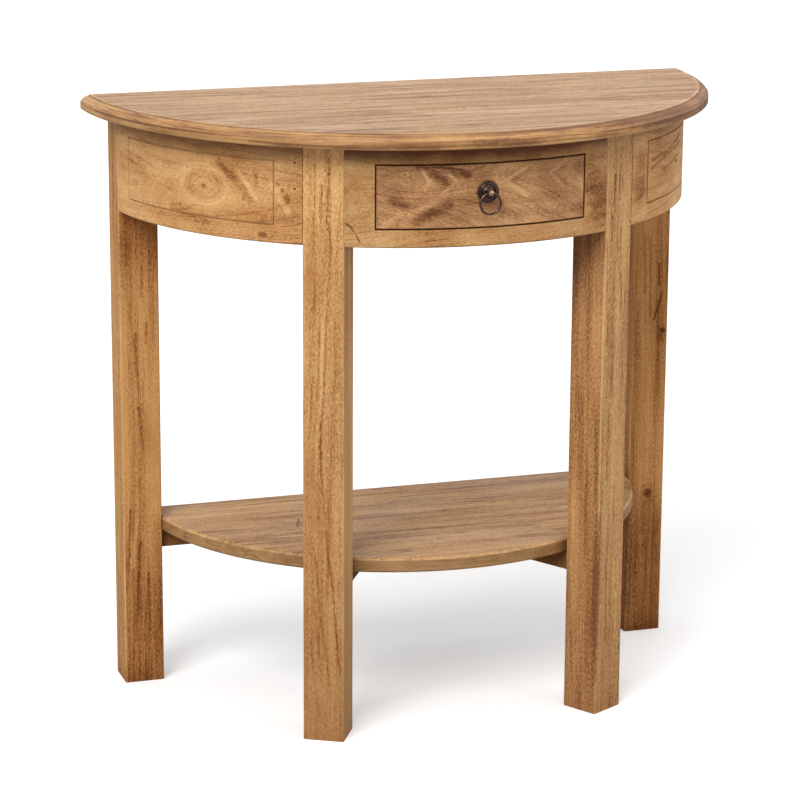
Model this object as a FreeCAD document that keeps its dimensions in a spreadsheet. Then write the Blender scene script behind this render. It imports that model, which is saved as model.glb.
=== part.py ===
"""Half-round console table: four square legs, a curved apron with one bow-fronted drawer, and a low shelf.

All sizes are in millimetres. Every piece is drawn about the upright axis through the middle of the
straight back edge, front towards -Y, and then moved so the table's footprint is centred on the origin.
"""
import FreeCAD
import Part
import Sketcher

import math
import os
import re

SIZES = {
    # overall
    "table_width": 800.0,
    "table_height": 750.0,
    # half-round top and its moulded edge
    "top_thickness": 18.0,
    "top_overhang": 30.0,
    "mould_run": 11.0,
    "mould_step": 1.2,
    "mould_drop": 8.0,
    "nose_bevel": 1.5,
    # legs
    "leg_size": 50.0,
    "leg_angle": 30.0,
    "leg_arris": 2.0,
    # curved and straight aprons
    "apron_height": 120.0,
    "apron_thickness": 20.0,
    "apron_margin": 21.0,
    "apron_arris": 1.5,
    "back_inset": 2.0,
    "panel_margin": 34.0,
    "panel_groove": 2.0,
    # mortise and tenon joints
    "tenon_thickness": 10.0,
    "tenon_length": 18.0,
    "tenon_shoulder": 12.0,
    "stub_length": 8.0,
    "joint_gap": 0.3,
    "glue_space": 0.8,
    # shelf and the stretchers under it
    "shelf_height": 216.0,
    "shelf_thickness": 18.0,
    "shelf_arc_shift": 10.0,
    "shelf_leg_gap": 6.0,
    "shelf_arris": 2.5,
    "stretcher_width": 28.0,
    "stretcher_height": 24.0,
    "stretcher_shoulder": 5.0,
    # drawer and what guides it
    "guide_thickness": 9.0,
    "guide_height": 24.0,
    "runner_ledge": 22.0,
    "runner_thickness": 13.0,
    "kicker_lap": 14.0,
    "slide_gap": 0.4,
    "drawer_gap": 2.0,
    "drawer_lap": 8.0,
    "drawer_arris": 0.8,
    "side_thickness": 12.0,
    "side_drop": 10.0,
    "rear_thickness": 12.0,
    "rear_inset": 14.0,
    "rear_housing": 4.0,
    "bottom_thickness": 6.0,
    "bottom_raise": 8.0,
    "bottom_groove": 5.0,
    # blocks that hold the top to the curved aprons
    "block_length": 80.0,
    "block_width": 24.0,
    "block_height": 26.0,
    # wood screws
    "screw_diameter": 4.0,
    "screw_head": 8.0,
    "screw_head_height": 3.0,
    "screw_length": 32.0,
    "screw_bite": 12.0,
    "screw_inset": 60.0,
    # ring pull
    "pull_rise": 4.5,
    "rosette_diameter": 26.0,
    "rosette_thickness": 4.5,
    "rosette_rim": 1.8,
    "bead_diameter": 21.0,
    "bead_width": 3.0,
    "bead_height": 3.2,
    "valley_height": 2.2,
    "hub_diameter": 9.0,
    "post_bolt": 4.0,
    "post_neck": 6.0,
    "post_ball": 9.0,
    "post_reach": 10.0,
    "bolt_tail": 1.5,
    "ring_diameter": 28.0,
    "ring_wire": 3.0,
    "ring_play": 0.35,
    "washer_diameter": 12.0,
    "washer_thickness": 1.2,
    "nut_flats": 7.0,
    "nut_thickness": 3.2,
    "washer_recess": 2.0,
    "recess_gap": 1.0,
}

# Sizes that follow from the ones above.
DERIVED = {
    "top_radius": "table_width / 2",
    "frame_top": "table_height - top_thickness",
    "apron_radius": "top_radius - top_overhang",
    "apron_inner": "apron_radius - apron_thickness",
    "apron_low": "frame_top - apron_height",
    "leg_half": "leg_size / 2",
    "leg_out": "sqrt(apron_radius ^ 2 - leg_half ^ 2)",
    "leg_in": "leg_out - leg_size",
    "leg_end_inner": "sqrt(apron_inner ^ 2 - leg_half ^ 2)",
    "leg_tenon_mid": "(leg_out + leg_end_inner) / 2",
    "leg_corner": "leg_in * sin(leg_angle) - leg_half * cos(leg_angle)",
    "back_leg_out": "sqrt(apron_radius ^ 2 - leg_size ^ 2)",
    "back_leg_in": "back_leg_out - leg_size",
    "back_end_inner": "sqrt(apron_inner ^ 2 - leg_size ^ 2)",
    "back_tenon_mid": "(back_leg_out + back_end_inner) / 2",
    "back_apron_front": "back_inset + apron_thickness",
    "tenon_low": "apron_low + tenon_shoulder",
    "tenon_height": "apron_height - 2 * tenon_shoulder",
    "opening_low": "apron_low + apron_margin",
    "opening_height": "apron_height - 2 * apron_margin",
    "shelf_low": "shelf_height - shelf_thickness",
    "shelf_half": "back_leg_in - joint_gap",
    "shelf_reach": "leg_in - shelf_leg_gap",
    "shelf_radius": "sqrt(shelf_reach ^ 2 + 2 * shelf_reach * shelf_arc_shift * cos(leg_angle)"
                    " + shelf_arc_shift ^ 2)",
    "shelf_corner": "sqrt(shelf_radius ^ 2 - shelf_half ^ 2) - shelf_arc_shift",
    "stretcher_low": "shelf_low - stretcher_height",
    "stretcher_half": "stretcher_width / 2",
    "stretcher_front": "leg_half + stretcher_half",
    "stretcher_tenon_low": "stretcher_low + stretcher_shoulder",
    "stretcher_tenon_height": "stretcher_height - 2 * stretcher_shoulder",
    "arm_foot": "stretcher_front * tan(leg_angle)",
    "guide_out": "leg_corner - joint_gap",
    "guide_face": "guide_out - guide_thickness",
    "drawer_half": "guide_face - slide_gap",
    "drawer_inner": "drawer_half - side_thickness",
    "opening_half": "drawer_half + drawer_gap",
    "drawer_low": "opening_low + drawer_gap",
    "drawer_height": "opening_height - 2 * drawer_gap",
    "drawer_seat": "sqrt(apron_radius ^ 2 - drawer_half ^ 2) - drawer_lap",
    "drawer_end": "back_apron_front + slide_gap",
    "side_height": "drawer_height - side_drop",
    "rear_back": "drawer_end + rear_inset",
    "rear_front": "rear_back + rear_thickness",
    "bottom_low": "drawer_low + bottom_raise",
    "bottom_top": "bottom_low + bottom_thickness",
    "bottom_half": "drawer_inner + bottom_groove - joint_gap",
    "bottom_radius": "apron_inner + bottom_groove - joint_gap",
    "runner_top": "drawer_low - slide_gap",
    "kicker_low": "drawer_low + side_height + slide_gap",
    "kicker_in": "guide_face - kicker_lap",
    "kicker_mid": "(kicker_in + guide_out) / 2",
    "block_angle": "(leg_angle + 90) / 2",
    "block_mid": "apron_inner - block_width / 2",
    "screw_grip": "screw_length - screw_bite",
    "pull_height": "drawer_low + drawer_height / 2 + pull_rise",
    "ring_mean": "(ring_diameter - ring_wire) / 2",
    "post_hole": "ring_wire + 2 * ring_play + (post_ball / 2) ^ 2 / ring_mean",
    "washer_seat": "apron_thickness - washer_recess",
}

# How far outside a piece a cut starts or ends.
OVERCUT = "1"

# Sides of the polygons that stand for the rounds of the screws, the ring's wire and the washer.
SCREW_SIDES = 10
WIRE_SIDES = 10
WASHER_SIDES = 16

SIDES = {"left": -1, "right": 1}

doc = FreeCAD.newDocument("demilune_table")
sheet = doc.addObject("Spreadsheet::Sheet", "Sizes")
for row, (alias, size) in enumerate(SIZES.items(), start=1):
    sheet.set(f"A{row}", alias)
    sheet.set(f"B{row}", str(size))
    sheet.setAlias(f"B{row}", alias)
doc.recompute()

pieces = []


def formula(text):
    """Write a formula out in spreadsheet cells, opening up the derived sizes on the way."""
    def spell(match):
        word = match.group(0)
        if word in DERIVED:
            return f"({formula(DERIVED[word])})"
        if word in SIZES:
            return f"Sizes.{word}"
        return word
    return re.sub(r"[a-z_]+", spell, text)


def number(text):
    """Work a formula out with the sizes as they stand."""
    return float(sheet.evalExpression(formula(text)))


def bind(thing, path, text):
    """Tie one property of an object to a formula."""
    thing.setExpression(path, formula(text))


def place(thing, x="0", y="top_radius / 2", z="0"):
    """Tie a piece's position to the sizes; by default it only moves to centre the footprint."""
    bind(thing, "Placement.Base.x", x)
    bind(thing, "Placement.Base.y", y)
    bind(thing, "Placement.Base.z", z)


def new_body(label):
    """Start a named wooden or metal piece."""
    body = doc.addObject("PartDesign::Body", label)
    body.Label = label
    pieces.append(body)
    place(body)
    return body


def new_sketch(body, plane="XY_Plane", offset="0"):
    """Add a sketch on one of the body's own planes, shifted along that plane's normal."""
    sketch = body.newObject("Sketcher::SketchObject", f"{body.Name}_sketch")
    origin_plane = next(item for item in body.Origin.OriginFeatures if item.Role == plane)
    sketch.AttachmentSupport = [(origin_plane, "")]
    sketch.MapMode = "FlatFace"
    bind(sketch, "AttachmentOffset.Base.z", offset)
    return sketch


def tie(sketch, name, constraint, text):
    """Add a named constraint and tie its value to a formula."""
    index = sketch.addConstraint(constraint)
    sketch.renameConstraint(index, name)
    bind(sketch, f"Constraints.{name}", text)


def pin_point(sketch, name, geometry, position, x, y):
    """Fix a sketch point at formula coordinates measured from the sketch's origin."""
    if x == "0":
        sketch.addConstraint(Sketcher.Constraint("PointOnObject", geometry, position, -2))
    else:
        tie(sketch, f"{name}_x", Sketcher.Constraint("DistanceX", -1, 1, geometry, position, number(x)), x)
    if y == "0":
        sketch.addConstraint(Sketcher.Constraint("PointOnObject", geometry, position, -1))
    else:
        tie(sketch, f"{name}_y", Sketcher.Constraint("DistanceY", -1, 1, geometry, position, number(y)), y)


def draw_outline(sketch, corners, arcs=None):
    """Draw a closed outline through the corners. arcs gives (centre x, centre y, radius) by side number."""
    arcs = arcs or {}
    first = sketch.GeometryCount
    points = [FreeCAD.Vector(number(x), number(y), 0) for x, y in corners]
    starts = []
    ends = []
    for side, (start, end) in enumerate(zip(points, points[1:] + points[:1])):
        if side not in arcs:
            sketch.addGeometry(Part.LineSegment(start, end), False)
            starts.append(1)
            ends.append(2)
            continue
        centre_x, centre_y, radius = arcs[side]
        centre = FreeCAD.Vector(number(centre_x), number(centre_y), 0)
        from_angle = math.atan2(start.y - centre.y, start.x - centre.x)
        to_angle = math.atan2(end.y - centre.y, end.x - centre.x)
        forward = (to_angle - from_angle) % (2 * math.pi) < math.pi
        circle = Part.Circle(centre, FreeCAD.Vector(0, 0, 1), number(radius))
        low, high = (from_angle, to_angle) if forward else (to_angle, from_angle)
        sketch.addGeometry(Part.ArcOfCircle(circle, low, high), False)
        starts.append(1 if forward else 2)
        ends.append(2 if forward else 1)
    count = len(corners)
    for side in range(count):
        following = (side + 1) % count
        sketch.addConstraint(Sketcher.Constraint(
            "Coincident", first + side, ends[side], first + following, starts[following]))
    for side, (x, y) in enumerate(corners):
        pin_point(sketch, f"corner{first + side}", first + side, starts[side], x, y)
    for side, (_, _, radius) in arcs.items():
        curve = Sketcher.Constraint("Radius", first + side, number(radius))
        tie(sketch, f"radius{first + side}", curve, radius)


def draw_circle(sketch, x, y, diameter):
    """Draw a circle of a given diameter about formula coordinates."""
    centre = FreeCAD.Vector(number(x), number(y), 0)
    index = sketch.addGeometry(Part.Circle(centre, FreeCAD.Vector(0, 0, 1), number(diameter) / 2), False)
    pin_point(sketch, f"centre{index}", index, 3, x, y)
    tie(sketch, f"diameter{index}", Sketcher.Constraint("Diameter", index, number(diameter)), diameter)


def polygon(x, y, diameter, sides):
    """Corners of a regular polygon inside a circle, turned so that none is level with or over its middle."""
    step = 360 / sides
    turns = [step * (corner + 0.25) for corner in range(sides)]
    return [(f"{x} + {diameter} / 2 * cos({turn})", f"{y} + {diameter} / 2 * sin({turn})") for turn in turns]


def extrude(body, sketch, length, cut=False):
    """Pad a sketch along its normal, or cut the same volume away, and make sure it did so."""
    doc.recompute()
    before = body.Shape.Volume if body.Tip else 0.0
    kind = "PartDesign::Pocket" if cut else "PartDesign::Pad"
    feature = body.newObject(kind, f"{body.Name}_{'cut' if cut else 'pad'}")
    feature.Profile = sketch
    feature.Reversed = cut
    bind(feature, "Length", length)
    doc.recompute()
    grown = feature.Shape.Volume - before
    if (grown >= 0) == cut:
        raise ValueError(f"{feature.Name} changed the volume by {grown}")


def slab(body, corners, low, height, arcs=None, cut=False):
    """Raise, or cut, a level slab with the given plan, from a height upwards."""
    sketch = new_sketch(body, "XY_Plane", low)
    draw_outline(sketch, corners, arcs)
    extrude(body, sketch, height, cut)


def box_plan(x_low, x_high, y_low, y_high):
    """Corners of a rectangle."""
    return [(x_low, y_low), (x_high, y_low), (x_high, y_high), (x_low, y_high)]


def turned(across, out, angle="leg_angle", side=1):
    """Point at a distance out from the axis along an angle from straight ahead, and across that line."""
    x = f"{side} * (({out}) * sin({angle}) + ({across}) * cos({angle}))"
    y = f"({across}) * sin({angle}) - ({out}) * cos({angle})"
    return x, y


def turned_box(across_low, across_high, out_low, out_high, side, angle="leg_angle"):
    """Corners of a rectangle set along an angled line from the axis."""
    ends = [(across_low, out_low), (across_high, out_low), (across_high, out_high), (across_low, out_high)]
    return [turned(across, out, angle, side) for across, out in ends]


def mirrored(corners, side):
    """Swap a plan to the left when the side is -1."""
    return [(f"{side} * ({x})", y) for x, y in corners]


def picked_edges(body, wanted):
    """The body so far, and the names of its edges that the test picks."""
    base = body.Tip
    names = [f"Edge{i}" for i, edge in enumerate(base.Shape.Edges, start=1) if wanted(edge)]
    return base, names


def round_edges(body, radius, wanted):
    """Round every edge that the test picks."""
    edges = picked_edges(body, wanted)
    rounding = body.newObject("PartDesign::Fillet", f"{body.Name}_rounding")
    rounding.Base = edges
    bind(rounding, "Radius", radius)
    doc.recompute()


def bevel_edges(body, size, wanted):
    """Take a small flat off every edge that the test picks."""
    edges = picked_edges(body, wanted)
    bevel = body.newObject("PartDesign::Chamfer", f"{body.Name}_bevel")
    bevel.Base = edges
    bind(bevel, "Size", size)
    doc.recompute()


def is_upright(edge):
    """True for an edge that runs straight up."""
    low, high = edge.BoundBox.ZMin, edge.BoundBox.ZMax
    return high - low > 1 and abs(edge.Length - (high - low)) < 1e-6


def lies_at(edge, height):
    """True for an edge that lies level at a height."""
    return abs(edge.BoundBox.ZMin - height) < 1e-6 and abs(edge.BoundBox.ZMax - height) < 1e-6


def is_arc(edge, radius):
    """True for an edge on a circle of the given radius."""
    return isinstance(edge.Curve, Part.Circle) and abs(edge.Curve.Radius - radius) < 1e-6


def spin(body, corners, arcs=None, angle="360"):
    """Turn a profile drawn in the XZ plane about the body's upright axis."""
    sketch = new_sketch(body, "XZ_Plane")
    draw_outline(sketch, corners, arcs)
    doc.recompute()
    turning = body.newObject("PartDesign::Revolution", f"{body.Name}_turning")
    turning.Profile = sketch
    turning.ReferenceAxis = (sketch, ["V_Axis"])
    turning.Reversed = True
    bind(turning, "Angle", angle)
    doc.recompute()


def drill(body, centres, diameter, low, height):
    """Bore upright screw holes from a height upwards, and make sure each one meets the wood."""
    for x, y in centres:
        before = body.Shape.Volume
        hole = body.newObject("PartDesign::SubtractivePrism", f"{body.Name}_hole")
        hole.Polygon = SCREW_SIDES
        bind(hole, "Circumradius", f"({diameter}) / 2")
        bind(hole, "Height", height)
        place(hole, x, y, low)
        doc.recompute()
        if body.Shape.Volume >= before:
            raise ValueError(f"{hole.Name} cut nothing away")


def drill_for_screws(body, centres, low, panel_low):
    """Bore a carrier for screws driven up into the panel that lies on it, heads sunk from below."""
    drill(body, centres, "screw_diameter + 2 * joint_gap", low, f"{panel_low} - ({low})")
    drill(body, centres, "screw_head + 2 * joint_gap", low, f"{panel_low} - screw_grip - ({low})")


def drill_pilots(body, centres, panel_low):
    """Bore the blind holes in a panel's underside that the screws bite into."""
    drill(body, centres, "screw_diameter + joint_gap", panel_low, "screw_bite + glue_space")


def screw_rod(label, diameter, length, x, y, low):
    """One upright length of a screw, its head or its shank."""
    rod = doc.addObject("Part::Prism", label)
    rod.Polygon = SCREW_SIDES
    bind(rod, "Circumradius", f"{diameter} / 2")
    bind(rod, "Height", length)
    place(rod, x, f"top_radius / 2 + {y}", low)
    return rod


def screw_group(label, centres, panel_low):
    """Make the wood screws that hold one panel, as one group of solids."""
    seat = f"{panel_low} - screw_grip"
    screws = []
    for x, y in centres:
        screw = doc.addObject("Part::Fuse", f"{label}_screw")
        screw.Base = screw_rod(f"{label}_shank", "screw_diameter", "screw_length", x, y, seat)
        screw.Tool = screw_rod(
            f"{label}_head", "screw_head", "screw_head_height", x, y, f"{seat} - screw_head_height")
        screws.append(screw)
    group = doc.addObject("Part::Compound", label)
    group.Label = label
    group.Links = screws
    pieces.append(group)


# Where the screws go: up through kickers and blocks into the top, and through the stretchers into the shelf.
kicker_screw_row = "screw_inset - sqrt(apron_inner ^ 2 - kicker_mid ^ 2)"
kicker_screws = {name: (f"{side} * kicker_mid", kicker_screw_row) for name, side in SIDES.items()}
block_screws = {name: turned("0", "block_mid", "block_angle", side) for name, side in SIDES.items()}
arm_screw_reach = "(leg_in - screw_inset)"
arm_screws = {name: turned("0", arm_screw_reach, "leg_angle", side) for name, side in SIDES.items()}
back_screws = [(f"{side} * (back_leg_in - screw_inset)", "-leg_half") for side in SIDES.values()]
top_screw_centres = [*kicker_screws.values(), *block_screws.values()]
shelf_screw_centres = [*arm_screws.values(), *back_screws]


def make_top():
    """Half-round top: a low step, a quarter round and an eased nose run round its curved edge."""
    body = new_body("table_top")
    place(body, z="frame_top")
    rise = "(mould_drop - nose_bevel - mould_step)"
    run = "(mould_run - nose_bevel)"
    sweep = f"({run} ^ 2 + {rise} ^ 2) / (2 * {rise})"
    corners = [
        ("0", "0"),
        ("top_radius - nose_bevel", "0"),
        ("top_radius", "nose_bevel"),
        ("top_radius", "top_thickness - mould_drop"),
        ("top_radius - nose_bevel", "top_thickness - mould_drop + nose_bevel"),
        ("top_radius - mould_run", "top_thickness - mould_step"),
        ("top_radius - mould_run", "top_thickness"),
        ("0", "top_thickness"),
    ]
    arcs = {4: ("top_radius - mould_run", f"top_thickness - mould_step - {sweep}", sweep)}
    spin(body, corners, arcs, "180")
    drill_pilots(body, top_screw_centres, "0")


def make_front_leg(name, side):
    """Front leg, drawn straight ahead and then swung round to its place on the curve."""
    body = new_body(f"front_leg_{name}")
    body.Placement = FreeCAD.Placement(
        FreeCAD.Vector(0, 0, 0), FreeCAD.Rotation(FreeCAD.Vector(0, 0, side), SIZES["leg_angle"]))
    bind(body, "Placement.Rotation.Angle", "leg_angle")
    slab(body, box_plan("-leg_half", "leg_half", "-leg_out", "-leg_in"), "0", "frame_top")
    round_edges(body, "leg_arris", is_upright)
    slot_in = "leg_half - tenon_length - glue_space"
    for cheek in (-1, 1):
        slot = box_plan(
            slot_in, f"leg_half + {OVERCUT}", "-leg_tenon_mid - tenon_thickness / 2 - joint_gap",
            "-leg_tenon_mid + tenon_thickness / 2 + joint_gap")
        slab(body, mirrored(slot, cheek), "tenon_low - joint_gap", "tenon_height + 2 * joint_gap", cut=True)
    arm_slot = box_plan(
        "-tenon_thickness / 2 - joint_gap", "tenon_thickness / 2 + joint_gap",
        "-leg_in - tenon_length - glue_space", f"-leg_in + {OVERCUT}")
    slab(body, arm_slot, "stretcher_tenon_low - joint_gap",
         "stretcher_tenon_height + 2 * joint_gap", cut=True)


def make_back_leg(name, side):
    """Back leg, square to the wall, its outer front corner on the curve of the apron."""
    body = new_body(f"back_leg_{name}")
    slab(body, mirrored(box_plan("back_leg_in", "back_leg_out", "-leg_size", "0"), side), "0", "frame_top")
    round_edges(body, "leg_arris", is_upright)
    side_slot = box_plan(
        "back_tenon_mid - tenon_thickness / 2 - joint_gap",
        "back_tenon_mid + tenon_thickness / 2 + joint_gap",
        f"-leg_size - {OVERCUT}", "-leg_size + tenon_length + glue_space")
    back_mid = "(-back_inset - apron_thickness / 2)"
    back_slot = box_plan(
        f"back_leg_in - {OVERCUT}", "back_leg_in + tenon_length + glue_space",
        f"{back_mid} - tenon_thickness / 2 - joint_gap", f"{back_mid} + tenon_thickness / 2 + joint_gap")
    for slot in (side_slot, back_slot):
        slab(body, mirrored(slot, side), "tenon_low - joint_gap", "tenon_height + 2 * joint_gap", cut=True)
    low_slot = box_plan(
        f"back_leg_in - {OVERCUT}", "back_leg_in + tenon_length + glue_space",
        "-leg_half - tenon_thickness / 2 - joint_gap", "-leg_half + tenon_thickness / 2 + joint_gap")
    slab(body, mirrored(low_slot, side), "stretcher_tenon_low - joint_gap",
         "stretcher_tenon_height + 2 * joint_gap", cut=True)


def make_side_apron(name, side):
    """Curved side of the apron, tenoned into both legs, with a scribed panel like the drawer front."""
    body = new_body(f"side_apron_{name}")
    corners = [
        turned("leg_half", "leg_out", side=side),
        (f"{side} * back_leg_out", "-leg_size"),
        (f"{side} * back_end_inner", "-leg_size"),
        turned("leg_half", "leg_end_inner", side=side),
    ]
    arcs = {0: ("0", "0", "apron_radius"), 2: ("0", "0", "apron_inner")}
    slab(body, corners, "apron_low", "apron_height", arcs)
    low = number("apron_low")
    radius = number("apron_radius")
    bevel_edges(body, "apron_arris", lambda edge: lies_at(edge, low) and is_arc(edge, radius))
    front_tenon = turned_box(
        "leg_half - tenon_length", "leg_half", "leg_tenon_mid - tenon_thickness / 2",
        "leg_tenon_mid + tenon_thickness / 2", side)
    back_tenon = mirrored(box_plan(
        "back_tenon_mid - tenon_thickness / 2", "back_tenon_mid + tenon_thickness / 2",
        "-leg_size", "-leg_size + tenon_length"), side)
    for tenon in (front_tenon, back_tenon):
        slab(body, tenon, "tenon_low", "tenon_height")
    scribe_panel(body, side)


def scribe_panel(body, side):
    """Cut the fine grooves that outline a panel on a side apron."""
    groove_radius = "(apron_radius - panel_groove)"
    front_line = "(leg_half + panel_margin)"
    back_line = "(leg_size + panel_margin)"
    corners = [
        turned(front_line, f"sqrt(top_radius ^ 2 - {front_line} ^ 2)", side=side),
        (f"{side} * sqrt(top_radius ^ 2 - {back_line} ^ 2)", f"-{back_line}"),
        (f"{side} * sqrt({groove_radius} ^ 2 - {back_line} ^ 2)", f"-{back_line}"),
        turned(front_line, f"sqrt({groove_radius} ^ 2 - {front_line} ^ 2)", side=side),
    ]
    arcs = {0: ("0", "0", "top_radius"), 2: ("0", "0", groove_radius)}
    for low in ("opening_low", "opening_low + opening_height - panel_groove"):
        slab(body, corners, low, "panel_groove", arcs, cut=True)
    front_groove = turned_box(
        front_line, f"{front_line} + panel_groove", f"sqrt({groove_radius} ^ 2 - {front_line} ^ 2)",
        "top_radius", side)
    back_groove = mirrored(box_plan(
        f"sqrt({groove_radius} ^ 2 - {back_line} ^ 2)", "top_radius",
        f"-{back_line} - panel_groove", f"-{back_line}"), side)
    for groove in (front_groove, back_groove):
        slab(body, groove, "opening_low", "opening_height", cut=True)


def make_front_apron():
    """Curved front of the apron between the front legs, cut through for the drawer."""
    body = new_body("front_apron")
    corners = [
        turned("-leg_half", "leg_out", side=-1),
        turned("-leg_half", "leg_out", side=1),
        turned("-leg_half", "leg_end_inner", side=1),
        turned("-leg_half", "leg_end_inner", side=-1),
    ]
    arcs = {0: ("0", "0", "apron_radius"), 2: ("0", "0", "apron_inner")}
    slab(body, corners, "apron_low", "apron_height", arcs)
    low = number("apron_low")
    radius = number("apron_radius")
    bevel_edges(body, "apron_arris", lambda edge: lies_at(edge, low) and is_arc(edge, radius))
    for side in SIDES.values():
        tenon = turned_box(
            "-leg_half", "-leg_half + tenon_length", "leg_tenon_mid - tenon_thickness / 2",
            "leg_tenon_mid + tenon_thickness / 2", side)
        slab(body, tenon, "tenon_low", "tenon_height")
    opening = box_plan("-opening_half", "opening_half", "-top_radius", "-leg_size")
    slab(body, opening, "opening_low", "opening_height", cut=True)


def make_back_apron():
    """Straight rail across the back, tenoned into the back legs."""
    body = new_body("back_apron")
    slab(body, box_plan("-back_leg_in", "back_leg_in", "-back_apron_front", "-back_inset"),
         "apron_low", "apron_height")
    middle = "(-back_inset - apron_thickness / 2)"
    for side in SIDES.values():
        tenon = box_plan("back_leg_in", "back_leg_in + tenon_length",
                         f"{middle} - tenon_thickness / 2", f"{middle} + tenon_thickness / 2")
        slab(body, mirrored(tenon, side), "tenon_low", "tenon_height")


def make_top_block(name, side):
    """Block in the corner of side apron and top, screwed up into the top."""
    body = new_body(f"top_block_{name}")
    half = "(block_length / 2)"
    inner = "(apron_inner - block_width)"
    corners = [
        turned(f"-{half}", f"sqrt(apron_inner ^ 2 - {half} ^ 2)", "block_angle", side),
        turned(half, f"sqrt(apron_inner ^ 2 - {half} ^ 2)", "block_angle", side),
        turned(half, f"sqrt({inner} ^ 2 - {half} ^ 2)", "block_angle", side),
        turned(f"-{half}", f"sqrt({inner} ^ 2 - {half} ^ 2)", "block_angle", side),
    ]
    arcs = {0: ("0", "0", "apron_inner")}
    slab(body, corners, "frame_top - block_height", "block_height", arcs)
    drill_for_screws(body, [block_screws[name]], "frame_top - block_height", "frame_top")


def trim_to_front_apron(body, low, height):
    """Cut the front end of a lengthwise strip to the hollow of the front apron."""
    sketch = new_sketch(body, "XY_Plane", low)
    draw_circle(sketch, "0", "0", "2 * apron_inner")
    draw_circle(sketch, "0", "0", "2 * top_radius")
    extrude(body, sketch, height, cut=True)


def make_runner(name, side):
    """Ledge the drawer slides on, with an upright that guides its side."""
    body = new_body(f"drawer_runner_{name}")
    profile = [
        ("guide_face - runner_ledge", "runner_top - runner_thickness"),
        ("guide_out", "runner_top - runner_thickness"),
        ("guide_out", "runner_top + guide_height"),
        ("guide_face", "runner_top + guide_height"),
        ("guide_face", "runner_top"),
        ("guide_face - runner_ledge", "runner_top"),
    ]
    sketch = new_sketch(body, "XZ_Plane", "back_apron_front")
    draw_outline(sketch, mirrored(profile, side))
    extrude(body, sketch, "apron_inner - back_apron_front")
    trim_to_front_apron(body, f"runner_top - runner_thickness - {OVERCUT}",
                        f"runner_thickness + guide_height + 2 * {OVERCUT}")


def make_kicker(name, side):
    """Strip under the top that keeps the drawer from tipping when it is pulled out."""
    body = new_body(f"drawer_kicker_{name}")
    plan = box_plan("kicker_in", "guide_out", "-apron_inner", "-back_apron_front")
    slab(body, mirrored(plan, side), "kicker_low", "frame_top - kicker_low")
    trim_to_front_apron(body, f"kicker_low - {OVERCUT}", f"frame_top - kicker_low + 2 * {OVERCUT}")
    drill_for_screws(body, [kicker_screws[name]], "kicker_low", "frame_top")


def make_drawer_front():
    """Bow front, flush with the apron, notched for the sides and grooved for the bottom."""
    body = new_body("drawer_front")
    outer = "sqrt(apron_radius ^ 2 - drawer_half ^ 2)"
    inner = "sqrt(apron_inner ^ 2 - drawer_half ^ 2)"
    corners = [
        ("-drawer_half", f"-{outer}"), ("drawer_half", f"-{outer}"),
        ("drawer_half", f"-{inner}"), ("-drawer_half", f"-{inner}"),
    ]
    arcs = {0: ("0", "0", "apron_radius"), 2: ("0", "0", "apron_inner")}
    slab(body, corners, "drawer_low", "drawer_height", arcs)
    radius = number("apron_radius")
    face = -number(outer)
    bevel_edges(body, "drawer_arris", lambda edge: is_arc(edge, radius)
                or (is_upright(edge) and abs(edge.BoundBox.YMax - face) < 1e-6))
    for side in SIDES.values():
        notch = box_plan(
            "drawer_inner", f"drawer_half + {OVERCUT}", "-drawer_seat", f"-{inner} + drawer_half")
        slab(body, mirrored(notch, side), f"drawer_low - {OVERCUT}",
             f"side_height + {OVERCUT} + joint_gap", cut=True)
    groove_radius = "(apron_inner + bottom_groove)"
    groove = [
        ("-drawer_inner", f"-sqrt({groove_radius} ^ 2 - drawer_inner ^ 2)"),
        ("drawer_inner", f"-sqrt({groove_radius} ^ 2 - drawer_inner ^ 2)"),
        ("drawer_inner", "-leg_size"), ("-drawer_inner", "-leg_size"),
    ]
    slab(body, groove, "bottom_low - joint_gap", "bottom_thickness + 2 * joint_gap",
         {0: ("0", "0", groove_radius)}, cut=True)
    bolt_hole = new_sketch(body, "XZ_Plane", "leg_size")
    draw_circle(bolt_hole, "0", "pull_height", "post_bolt + 2 * joint_gap")
    extrude(body, bolt_hole, "top_radius - leg_size", cut=True)
    recess = new_sketch(body, "XZ_Plane", "leg_size")
    draw_circle(recess, "0", "pull_height", "washer_diameter + 2 * recess_gap")
    extrude(body, recess, "apron_inner + washer_recess - leg_size", cut=True)


def make_drawer_side(name, side):
    """Drawer side, grooved for the bottom and housed for the back."""
    body = new_body(f"drawer_side_{name}")
    plan = box_plan("drawer_inner", "drawer_half", "-drawer_seat", "-drawer_end")
    slab(body, mirrored(plan, side), "drawer_low", "side_height")
    groove = box_plan(f"drawer_inner - {OVERCUT}", "drawer_inner + bottom_groove",
                      f"-drawer_seat - {OVERCUT}", f"-drawer_end + {OVERCUT}")
    slab(body, mirrored(groove, side), "bottom_low - joint_gap",
         "bottom_thickness + 2 * joint_gap", cut=True)
    housing = box_plan(f"drawer_inner - {OVERCUT}", "drawer_inner + rear_housing",
                       "-rear_front - joint_gap", "-rear_back + joint_gap")
    slab(body, mirrored(housing, side), "bottom_top", "drawer_height", cut=True)


def make_drawer_back():
    """Drawer back, let into the sides and standing on the bottom."""
    body = new_body("drawer_back")
    reach = "(drawer_inner + rear_housing - joint_gap)"
    slab(body, box_plan(f"-{reach}", reach, "-rear_front", "-rear_back"),
         "bottom_top + joint_gap", "drawer_low + side_height - bottom_top - joint_gap")


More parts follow.
